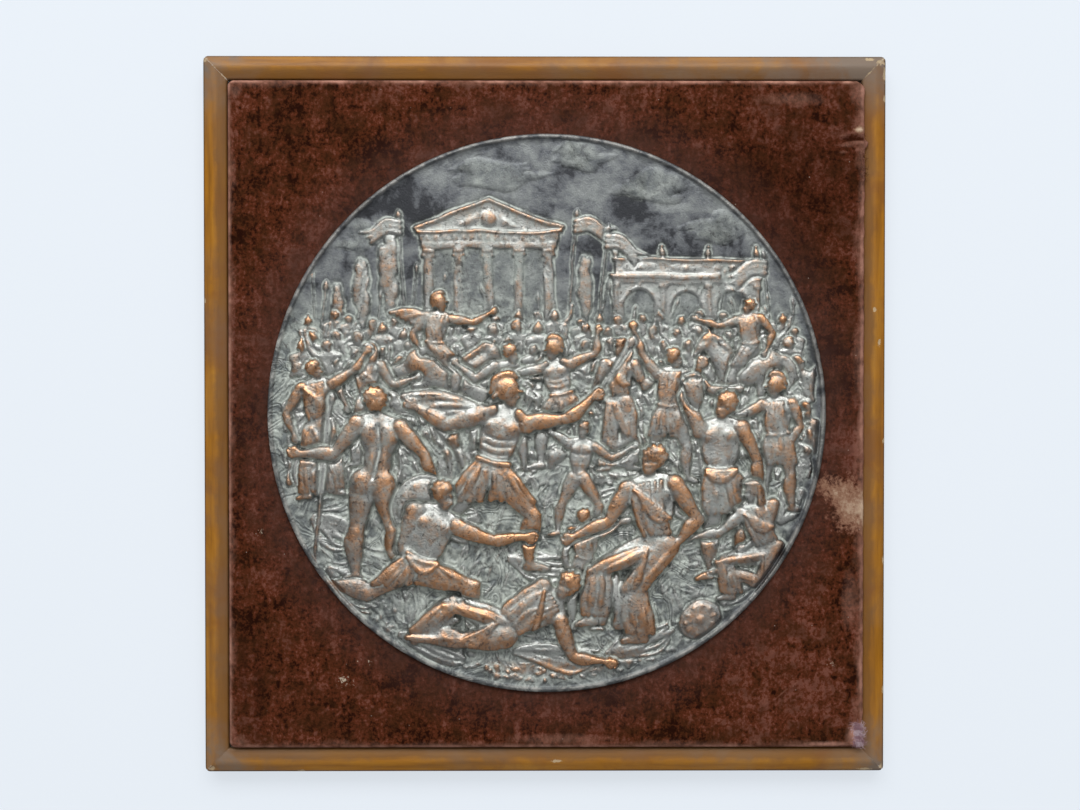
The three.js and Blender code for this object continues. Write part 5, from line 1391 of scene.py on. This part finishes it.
def buildVelvet(material):
    v = velvet
    a, b, c = v["halfWide"] - v["edge"], v["halfTall"] - v["edge"], v["corner"] - v["edge"]

    def lines(half):
        # closer together near the edges, with a few inside the corner
        s = np.linspace(-1, 1, v["lines"])
        middle = (half - c) * (0.35 * s + 0.65 * np.sin(math.pi * s / 2))
        end = half - c + c * np.arange(1, 5) / 4
        return np.concatenate([-end[::-1], middle, end])

    gx, gz = np.meshgrid(lines(a), lines(b))
    rows, cols = gx.shape
    s, t = np.clip((np.abs(gx) - a + c) / c, 0, 1), np.clip((np.abs(gz) - b + c) / c, 0, 1)
    inCorner = (s > 0) & (t > 0)
    x = np.where(inCorner, np.sign(gx) * (a - c + c * s * np.sqrt(1 - t * t / 2)), gx).ravel()
    z = np.where(inCorner, np.sign(gz) * (b - c + c * t * np.sqrt(1 - s * s / 2)), gz).ravel()
    index = np.arange(rows * cols).reshape(rows, cols)
    quads = np.stack([index[:-1, :-1], index[:-1, 1:], index[1:, 1:], index[1:, :-1]], -1).reshape(-1, 4)
    loop = np.concatenate([index[0, :-1], index[:-1, -1], index[-1, :0:-1], index[:0:-1, 0]])
    lx, lz = x[loop], z[loop]
    nx = np.sign(lx) * np.maximum(np.abs(lx) - a + c, 0)
    nz = np.sign(lz) * np.maximum(np.abs(lz) - b + c, 0)
    size = np.hypot(nx, nz)
    nx, nz = nx / size, nz / size
    # round the edge, down the side, under the hem and up again inside: offset outwards, height
    e, hem, inner = v["edge"], v["hem"], v["inner"]
    turn = [math.radians(k) for k in (18, 36, 54, 72, 90)]
    way = [(e * math.sin(k), v["front"] - e * (1 - math.cos(k))) for k in turn]
    way += [(e, d) for d in (8.5, 6.0, 3.5, hem + 0.3)] + [(e - 0.3, hem), (e - v["skin"], hem)]
    way += [(e - v["skin"], d) for d in (4.0, 8.0, inner)]
    px, pz, depth = [x], [z], [np.full(rows * cols, v["front"])]
    faces = [quads]
    n = len(loop)
    now = loop
    total = rows * cols
    for off, d in way:
        px.append(lx + nx * off)
        pz.append(lz + nz * off)
        depth.append(np.full(n, d))
        ring = total + np.arange(n)
        faces.append(np.stack([now, ring, np.roll(ring, -1), np.roll(now, -1)], -1))
        now = ring
        total += n
    px.append(x)
    pz.append(z)
    depth.append(np.full(rows * cols, inner))
    lining = loop + total
    faces.append(np.stack([now, lining, np.roll(lining, -1), np.roll(now, -1)], -1))
    faces.append(quads[:, ::-1] + total)
    x, z, depth = np.concatenate(px), np.concatenate(pz), np.concatenate(depth)
    front = np.clip((depth - 11.2) / 1.4, 0, 1)
    fromEdge = np.minimum(v["halfWide"] - np.abs(x), v["halfTall"] - np.abs(z))
    under = np.clip((discRadius - 1 - np.hypot(x - relief["across"], z - relief["up"])) / 4, 0, 1)
    uneven = 0.16 * ripple(x, z, 34, 3) + 0.1 * ripple(x, z, 9, 4) + 0.05 * ripple(x, z, 3.2, 5)
    # puckered cloth and a torn edge at the upper right, fuzzy corner at the lower right
    tear = wearLightAndShade["tear"]
    tearAt = fromPhoto(0, tear["row"])[1] + tear["slope"] * (x - tear["end"])
    lip = np.exp(-((z - tearAt) / 0.9) ** 2) * np.clip((x - tear["lip"]) / 6, 0, 1) * front
    slit = np.exp(-((z - tearAt - 2.2) / 1.0) ** 2) * np.clip((x - tear["slit"]) / 5, 0, 1) * front
    pucker = spot(x, z, *wearLightAndShade["pucker"])
    wrinkle = np.sin((z - 0.22 * x) * 1.55 + 0.8 * ripple(x, z, 12, 9))
    uneven = uneven + pucker * 0.55 * wrinkle + 0.9 * lip - 1.6 * slit
    uneven = uneven + 0.35 * spot(x, z, *wearLightAndShade["fuzz"]) * ripple(x, z, 2.2, 8)
    crease = alongCrease(x, z, 0.0, 1.1)
    uneven = uneven - 0.35 * crease
    depth = depth + front * (uneven * (1 - under) - 0.1 * under)
    high = np.clip((depth - 10.2) / 0.5, 0, 1) * np.clip(1 - fromEdge / 3.0, 0, 1)
    torn = np.exp(-((z - tearAt + 0.2) / 1.5) ** 2) * (x > 150)
    ragged = spot(x, z, *wearLightAndShade["ragged"]) * (0.5 + ripple(z * 0.0, z, 3.4, 17))
    # the pile spreads over the edge of the right rail
    spread = 1.7 + 0.35 * ripple(z * 0.0, z, 9, 18)
    spread = spread * np.clip(x - 154, 0, 1) * np.clip((166 - np.abs(z)) / 3, 0, 1)
    x = x + high * (spread + 2.4 * torn + 0.8 * ragged)
    frayed = np.clip(1 - fromEdge / 2.0, 0, 1) * front * 0.18 * ripple(x, z, 2.6, 6)
    x = x + frayed * np.sign(x) * (np.abs(x) > v["halfWide"] - 5)
    z = z + frayed * np.sign(z) * (np.abs(z) > v["halfTall"] - 5)
    piece = addPiece("velvetCover", np.stack([x, depth, z], 1), np.concatenate(faces).tolist(), material)
    # pale along the edges: worn pile, and painted sheen on the rounded edge
    line = np.clip(1.2 - np.abs(fromEdge - 0.7) / 1.5, 0, 1)
    line = line * (0.66 + 0.4 * ripple(x, z, 28, 12) + 0.4 * ripple(x, z, 7, 15))
    broad = np.exp(-np.maximum(fromEdge, 0) / 4.5)
    broad = broad * (0.42 + 0.2 * ripple(x, z, 40, 13) + 0.12 * ripple(x, z, 11, 14))
    edge = np.maximum(line, broad) * (depth > 9.0)
    for mark in wearLightAndShade["edge"]:
        edge = np.maximum(edge, spot(x, z, *mark))
    edge = np.maximum(edge, 0.5 * pucker * front * np.clip(wrinkle, 0, 1) ** 2)
    fold = alongCrease(x, z, wearLightAndShade["crease"]["fold"], 1.2)  # pale line beside the crease
    edge = np.maximum(edge, np.maximum(0.9 * lip, 0.38 * fold * front)) * (1 - slit)
    addValues(piece, "edge", np.clip(edge, 0, 1))
    for label, limit in (("faded", 2), ("dust", 1), ("bloom", 1)):
        addValues(piece, label, np.clip(sum(spot(x, z, *mark) for mark in wearLightAndShade[label]), 0, limit))
    gap = np.hypot(x - relief["across"], z - relief["up"]) - discRadius
    addValues(piece, "near", np.clip(1 - gap / 26, 0, 1))
    # painted shade in the tear's slit, in the crease and at the spots listed under shade
    shade = slit + 0.4 * crease + sum(spot(x, z, *mark) for mark in wearLightAndShade["shade"])
    addValues(piece, "shade", np.clip(shade * front, 0, 1))
    return piece


def startTree(name, inputs):
    tree = bpy.data.node_groups.new(name, "GeometryNodeTree")
    for label, kind, value in inputs:
        socket = tree.interface.new_socket(label, in_out="INPUT", socket_type="NodeSocket" + kind)
        if value is not None:
            socket.default_value = value
    tree.interface.new_socket("Geometry", in_out="OUTPUT", socket_type="NodeSocketGeometry")
    return tree, tree.nodes.new("NodeGroupInput").outputs


def growPiece(name, tree, values):
    # runs the tree with these inputs and keeps the mesh
    piece = bpy.data.objects.new(name, bpy.data.meshes.new(name))
    scene.collection.objects.link(piece)
    grow = piece.modifiers.new("grow", "NODES")
    grow.node_group = tree
    for item in tree.interface.items_tree:
        if item.in_out == "INPUT" and item.name in values:
            grow[item.identifier] = values[item.name]
    bpy.context.view_layer.update()
    mesh = bpy.data.meshes.new_from_object(piece.evaluated_get(bpy.context.evaluated_depsgraph_get()))
    piece.modifiers.remove(grow)
    piece.data = mesh
    mesh.set_sharp_from_angle(angle=math.radians(48))
    return piece


# mitred rail: an outline swept along its length, raised to the moulding's profile and cut at both ends
tree, given = startTree("mitredRail", [
    ("Length", "Float", 0.341), ("Away", "Float", 0.1792), ("Turn", "Float", 0.0),
    ("Width", "Float", 0.01225),
    ("Corner Round", "Float", 0.0024), ("Mitre Gap", "Float", 0.0002), ("Soften", "Float", 0.0005),
    ("Spacing", "Float", 0.0012), ("Wobble", "Float", 0.00012), ("Wood", "Material", None)])
railTree = tree
outlineTall = 0.01  # metres, before it is raised to the profile
top = max(h for _, h in rails["profile"])
knots = [(i / rails["width"], h / top) for i, h in rails["profile"]]
stored = {"data_type": "FLOAT", "domain": "POINT"}
outline = addNode(tree, "GeometryNodeCurvePrimitiveQuadrilateral", {},
                  {"Width": given["Width"], "Height": outlineTall}, 0)
outline = addNode(tree, "GeometryNodeFilletCurve", {"mode": "POLY"},
                  {"Curve": outline, "Radius": given["Soften"], "Count": 3}, 0)
outline = addNode(tree, "GeometryNodeResampleCurve", {"mode": "LENGTH"},
                  {"Curve": outline, "Length": 0.0005}, 0)
place = addNode(tree, "GeometryNodeInputPosition", {}, {}, 0)
here = addNode(tree, "ShaderNodeSeparateXYZ", {}, [place]).outputs
inset = addNode(tree, mathNode, timesPlus, [given["Width"], 0.5, here[0]], 0)
inward = addNode(tree, mathNode, over, [inset, given["Width"]], 0)
crown = addNode(tree, "ShaderNodeFloatCurve", {"knots": knots}, {"Value": inward}, 0)
crown = addNode(tree, mathNode, times, [crown, top * mm], 0)
share = addNode(tree, mathNode, timesPlus, [here[1], 1 / outlineTall, 0.5], 0)
rise = addNode(tree, mathNode, times, [crown, share], 0)
for label, value in (("across", inset), ("rise", rise)):
    outline = addNode(tree, "GeometryNodeStoreNamedAttribute", stored,
                      {"Geometry": outline, "Name": label, "Value": value}, 0)
path = addNode(tree, "GeometryNodeCurvePrimitiveLine", {}, {"Start": (-1, 0, 0), "End": (1, 0, 0)}, 0)
count = addNode(tree, mathNode, over, [given["Length"], given["Spacing"]], 0)
path = addNode(tree, "GeometryNodeResampleCurve", {"mode": "COUNT"}, {"Curve": path, "Count": count}, 0)
path = addNode(tree, "GeometryNodeStoreNamedAttribute", stored,
               {"Geometry": path, "Name": "along", "Value": here[0]}, 0)
swept = addNode(tree, "GeometryNodeCurveToMesh", {},
                {"Curve": path, "Profile Curve": outline, "Fill Caps": True}, 0)
held = {}
for label in ("across", "rise", "along"):
    held[label] = addNode(tree, "GeometryNodeInputNamedAttribute", {"data_type": "FLOAT"}, {"Name": label}, 0)
# the ends follow the mitre, and the frame's corner is rounded
short = addNode(tree, mathNode, minus, [given["Corner Round"], held["across"]], 0)
short = addNode(tree, mathNode, most, [short, 0.0], 0)
short = addNode(tree, mathNode, times, [short, short], 0)
arc = addNode(tree, mathNode, times, [given["Corner Round"], given["Corner Round"]], 0)
arc = addNode(tree, mathNode, minus, [arc, short], 0)
arc = addNode(tree, mathNode, {"operation": "SQRT"}, [arc], 0)
arc = addNode(tree, mathNode, minus, [given["Corner Round"], arc], 0)
cut = addNode(tree, mathNode, most, [held["across"], arc], 0)
cut = addNode(tree, mathNode, plus, [cut, given["Mitre Gap"]], 0)
reach = addNode(tree, mathNode, times, [given["Length"], 0.5], 0)
reach = addNode(tree, mathNode, minus, [reach, cut], 0)
placeX = addNode(tree, mathNode, times, [held["along"], reach], 0)
# planed by hand: a little higher here, a little lower there
hand = addNode(tree, "ShaderNodeCombineXYZ", {}, [held["along"], held["across"], given["Turn"]], 0)
hand = addNode(tree, "ShaderNodeTexNoise", {}, {"Vector": hand, "Scale": 9.0, "Detail": 2.0}, 0)
hand = addNode(tree, mathNode, minus, [hand, 0.5], 0)
hand = addNode(tree, mathNode, times, [hand, given["Wobble"]], 0)
lift = addNode(tree, mathNode, times, [held["rise"], 1 / outlineTall], 0)
lift = addNode(tree, mathNode, times, [hand, lift], 0)
placeY = addNode(tree, mathNode, minus, [lift, held["rise"]], 0)
placeZ = addNode(tree, mathNode, minus, [given["Away"], held["across"]], 0)
place = addNode(tree, "ShaderNodeCombineXYZ", {}, [placeX, placeY, placeZ], 0)
shaped = addNode(tree, "GeometryNodeSetPosition", {}, {"Geometry": swept, "Position": place}, 0)
turned = addNode(tree, "ShaderNodeCombineXYZ", {}, {"Y": given["Turn"]}, 0)
shaped = addNode(tree, "GeometryNodeTransform", {}, {"Geometry": shaped, "Rotation": turned}, 0)
shaped = addNode(tree, "GeometryNodeSetShadeSmooth", {}, {"Geometry": shaped}, 0)
shaped = addNode(tree, "GeometryNodeRealizeInstances", {}, {"Geometry": shaped}, 0)
shaped = addNode(tree, "GeometryNodeSetMaterial", {}, {"Geometry": shaped, "Material": given["Wood"]}, 0)
addNode(tree, "NodeGroupOutput", {}, {"Geometry": shaped})

# where the varnish is knocked off: place in the photo, reach across and up, depth of the dent
chips = [
    (884, 74, 1.0, 4.0, 0.5), (880, 62, 2.6, 1.6, 0.5), (868, 59, 3.2, 0.9, 0.3), (884, 98, 0.7, 2.2, 0.3),
    (874, 309, 0.9, 1.7, 0.2), (879, 342, 0.9, 2.6, 0.25), (211, 768, 2.0, 1.8, 0.45),
    (882, 767, 1.4, 1.3, 0.4),
    (866, 770, 4.0, 0.8, 0.25), (206, 60, 1.3, 1.2, 0.3), (556, 761, 3.0, 0.8, 0.08),
    (884, 440, 0.6, 1.8, 0.2),
    (884, 560, 0.6, 2.2, 0.2), (300, 771, 2.2, 0.6, 0.2), (205, 300, 0.5, 1.6, 0.2),
    (884, 690, 0.6, 2.4, 0.25),
]


def buildRail(name, length, away, turn, film, filmRight, order):
    r = rails
    piece = growPiece(name, railTree, {
        "Length": length * mm, "Away": away * mm, "Turn": math.radians(turn), "Width": r["width"] * mm,
        "Corner Round": r["cornerRound"] * mm, "Mitre Gap": r["mitreGap"] * mm, "Soften": r["soften"] * mm,
        "Spacing": r["spacing"] * mm, "Wood": woodMaterial})
    mesh = piece.data
    co = np.zeros(len(mesh.vertices) * 3)
    mesh.vertices.foreach_get("co", co)
    co = co.reshape(-1, 3)
    x, z, depth = co[:, 0] / mm, co[:, 2] / mm, -co[:, 1] / mm
    chipped = np.zeros(len(x))
    for px, py, wide, tall, dent in chips:
        near = spot(x, z, px, py, wide, tall) * (1 + 0.35 * ripple(x, z, 1.4, 21))
        chipped = np.maximum(chipped, near)
        depth = depth - dent * np.clip(near - 0.35, 0, 1) * 1.5 * (depth > 5)
    # pale line along the upper right mitre, fainter at the upper left
    fromSide, fromTop = board["wide"] / 2 - np.abs(x), board["tall"] / 2 - np.abs(z)
    mitre = np.clip(1 - np.abs(fromSide - fromTop) / 0.7, 0, 1) * (z > 100)
    chipped = np.maximum(chipped, mitre * np.where(x > 0, 0.66, 0.62) * (1 + 0.5 * ripple(x, z, 5, 22)))
    co[:, 1] = -depth * mm
    mesh.vertices.foreach_set("co", co.ravel())
    addValues(piece, "chip", np.clip(chipped, 0, 1))
    nearCorner = np.clip(1 - (fromSide + fromTop) / 40, 0, 1)
    film = film + filmRight * np.clip(x / 150, 0, 1) + 0.25 * ripple(x, z, 70, 30 + order)
    addValues(piece, "film", np.clip(film + 1.3 * nearCorner, 0, 1.6))
    reached = mesh.attributes["along"]
    along = np.zeros(len(x))
    reached.data.foreach_get("value", along)
    reached.data.foreach_set("value", along * length * mm / 2 + 0.7 * order)
    return piece


# loose threads: thin bowed hairs scattered over a patch, lying close to the cloth
tree, given = startTree("looseThreads", [
    ("Count", "Int", 150), ("Seed", "Int", 1), ("Centre", "Vector", (0.0, 0.0, 0.0)),
    ("Reach", "Vector", (0.003, 0.0, 0.004)), ("Length", "Float", 0.004), ("Thickness", "Float", 0.0001),
    ("Thread", "Material", None)])
threadTree = tree
hair = addNode(tree, "GeometryNodeCurveQuadraticBezier", {}, {
    "Resolution": 5, "Start": (0.0, 0.0, 0.0), "Middle": (0.25, -0.2, 0.6), "End": (-0.15, -0.05, 1.0)}, 0)
thin = addNode(tree, mathNode, over, [given["Thickness"], given["Length"]], 0)
ring = addNode(tree, "GeometryNodeCurvePrimitiveCircle", {"mode": "RADIUS"},
               {"Resolution": 3, "Radius": thin}, 0)
hair = addNode(tree, "GeometryNodeCurveToMesh", {},
               {"Curve": hair, "Profile Curve": ring, "Fill Caps": True}, 0)
roots = addNode(tree, "FunctionNodeRandomValue", {"data_type": "FLOAT_VECTOR"},
                {0: (-1, -1, -1), 1: (1, 1, 1), "Seed": given["Seed"]}, 0)
roots = addNode(tree, "ShaderNodeVectorMath", timesPlus, [roots, given["Reach"], given["Centre"]], 0)
roots = addNode(tree, "GeometryNodePoints", {}, {"Count": given["Count"], "Position": roots}, 0)
turns = addNode(tree, "FunctionNodeRandomValue", {"data_type": "FLOAT_VECTOR"},
                {0: (-0.2, 0.0, -0.2), 1: (0.2, 6.28, 0.2), "Seed": given["Seed"]}, 0)
sizes = addNode(tree, "FunctionNodeRandomValue", {"data_type": "FLOAT"},
                {2: 0.4, 3: 1.2, "Seed": given["Seed"]}, 1)
sizes = addNode(tree, mathNode, times, [sizes, given["Length"]], 0)
tuft = addNode(tree, "GeometryNodeInstanceOnPoints", {},
               {"Points": roots, "Instance": hair, "Rotation": turns, "Scale": sizes}, 0)
tuft = addNode(tree, "GeometryNodeRealizeInstances", {}, {"Geometry": tuft}, 0)
tuft = addNode(tree, "GeometryNodeSetMaterial", {}, {"Geometry": tuft, "Material": given["Thread"]}, 0)
addNode(tree, "NodeGroupOutput", {}, {"Geometry": tuft})

fluff = {
    "seed": 7,
    "thickness": 0.06,
    "loft": 0.2,  # above and below the velvet's front
    # place in the photo, reach across and up, how many, how long
    "patches": {
        "corner": (858, 734, 2.6, 5.4, 700, 2.4, threadMaterial),
        "tear": (862, 158, 1.0, 12.0, 90, 1.7, velvetMaterial),
    },
}

disc = buildDisc(silverMaterial)
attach(disc, "root")
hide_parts("relief_disc")

cover = buildVelvet(velvetMaterial)
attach(cover, "root")
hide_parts("velvet_cover")
for order, (name, (px, py, wide, tall, count, length, stuff)) in enumerate(fluff["patches"].items()):
    across, up = fromPhoto(px, py)
    threads = growPiece(name + "Threads", threadTree, {
        "Count": count, "Seed": fluff["seed"] + order,
        "Centre": (across * mm, -velvet["front"] * mm, up * mm),
        "Reach": (wide * mm, fluff["loft"] * mm, tall * mm), "Length": length * mm,
        "Thickness": fluff["thickness"] * mm, "Thread": stuff})
    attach(threads, "root")
    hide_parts("velvet_cover")
print("velvet stretched")

# length, distance from the middle, turn in degrees, grey film all along and towards the right
sides = {
    "Top": (board["wide"], board["tall"] / 2, 0, 0.2, 0.75),
    "Right": (board["tall"], board["wide"] / 2, 90, 0.1, 0.0),
    "Bottom": (board["wide"], board["tall"] / 2, 180, 0.25, 0.0),
    "Left": (board["tall"], board["wide"] / 2, -90, 0.2, 0.0),
}
for order, (side, fit) in enumerate(sides.items()):
    rail = buildRail("rail" + side, *fit, order)
    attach(rail, "root")
    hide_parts("rail_" + side.lower())
print("rails mitred")

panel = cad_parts["backing_board"]
panel.data.materials.clear()
panel.data.materials.append(bareMaterial)

# pale wall close behind, open when seen from the back
wall = {
    "behind": 2.0,
    "size": 6.0,  # metres
    "colour": "#7c7f82",
    "light": "#eff6fe",
    "glow": 0.72,
    "patterns": {"plaster": (3, 3, 0.55, 0.0)},
}
wallMaterial, tree, on = startMaterial("painted wall", wall["patterns"])
bump = addNode(tree, "ShaderNodeBump", {}, {"Strength": 0.05, "Distance": 0.0005, "Height": on["plaster"]}, 0)
matt = addNode(tree, "ShaderNodeBsdfDiffuse", {}, {"Color": linear(wall["colour"]), "Normal": bump}, 0)
lit = addNode(tree, "ShaderNodeEmission", {}, {"Color": linear(wall["light"]), "Strength": wall["glow"]}, 0)
bright = addNode(tree, "ShaderNodeAddShader", {}, [matt, lit], 0)
clear = addNode(tree, "ShaderNodeBsdfTransparent", {}, {}, 0)
fromBack = addNode(tree, "ShaderNodeNewGeometry", {}, {}, "Backfacing")
either = addNode(tree, "ShaderNodeMixShader", {}, [fromBack, bright, clear], 0)
addNode(tree, "ShaderNodeOutputMaterial", {}, {"Surface": either})
half, back = wall["size"] / 2 / mm, -wall["behind"]
corners = [(-half, back, -half), (half, back, -half), (half, back, half), (-half, back, half)]
backdrop = addPiece("wall", corners, [[0, 1, 2, 3]], wallMaterial)
for ray in ("visible_diffuse", "visible_glossy", "visible_transmission", "visible_shadow"):
    setattr(backdrop, ray, False)

lights = {
    "sky": 0.8,
    "skyStops": [(0.15, "#a9abae"), (0.45, "#6f7275"), (0.55, "#6f7275"), (0.75, "#ffffff")],  # upwards
    "colour": "#fbfdff",
    # place and size in metres, power
    "lamps": {
        "aboveLight": ((-0.1, -1.6, 1.5), (2.2, 1.0), 38.0),
        "frontLight": ((0.2, -1.9, 0.1), (2.4, 1.8), 6.0),
        "behindLight": ((0.2, 1.3, 0.9), (1.0, 1.0), 4.0),
    },
}
world = bpy.data.worlds.new("room")
scene.world = world
world.use_nodes = True
tree = world.node_tree
tree.nodes.clear()
ray = addNode(tree, "ShaderNodeTexCoord", {}, {}, "Generated")
level = addNode(tree, "ShaderNodeSeparateXYZ", {}, [ray], 2)
level = addNode(tree, mathNode, timesPlus, [level, 0.5, 0.5], 0)
glow = addNode(tree, rampNode, {"stops": lights["skyStops"]}, [level], 0)
sky = addNode(tree, "ShaderNodeBackground", {}, {"Color": glow, "Strength": lights["sky"]}, 0)
addNode(tree, "ShaderNodeOutputWorld", {}, {"Surface": sky})
for name, (at, size, power) in lights["lamps"].items():
    lamp = bpy.data.lights.new(name, "AREA")
    lamp.shape = "RECTANGLE"
    lamp.size, lamp.size_y = size
    lamp.energy = power
    lamp.color = linear(lights["colour"])[:3]
    piece = bpy.data.objects.new(name, lamp)
    piece.location = at
    # faces the middle of the board
    piece.rotation_euler = (math.atan2(math.hypot(at[0], at[1]), at[2]), 0, math.atan2(at[0], -at[1]))
    scene.collection.objects.link(piece)
print("room lit")
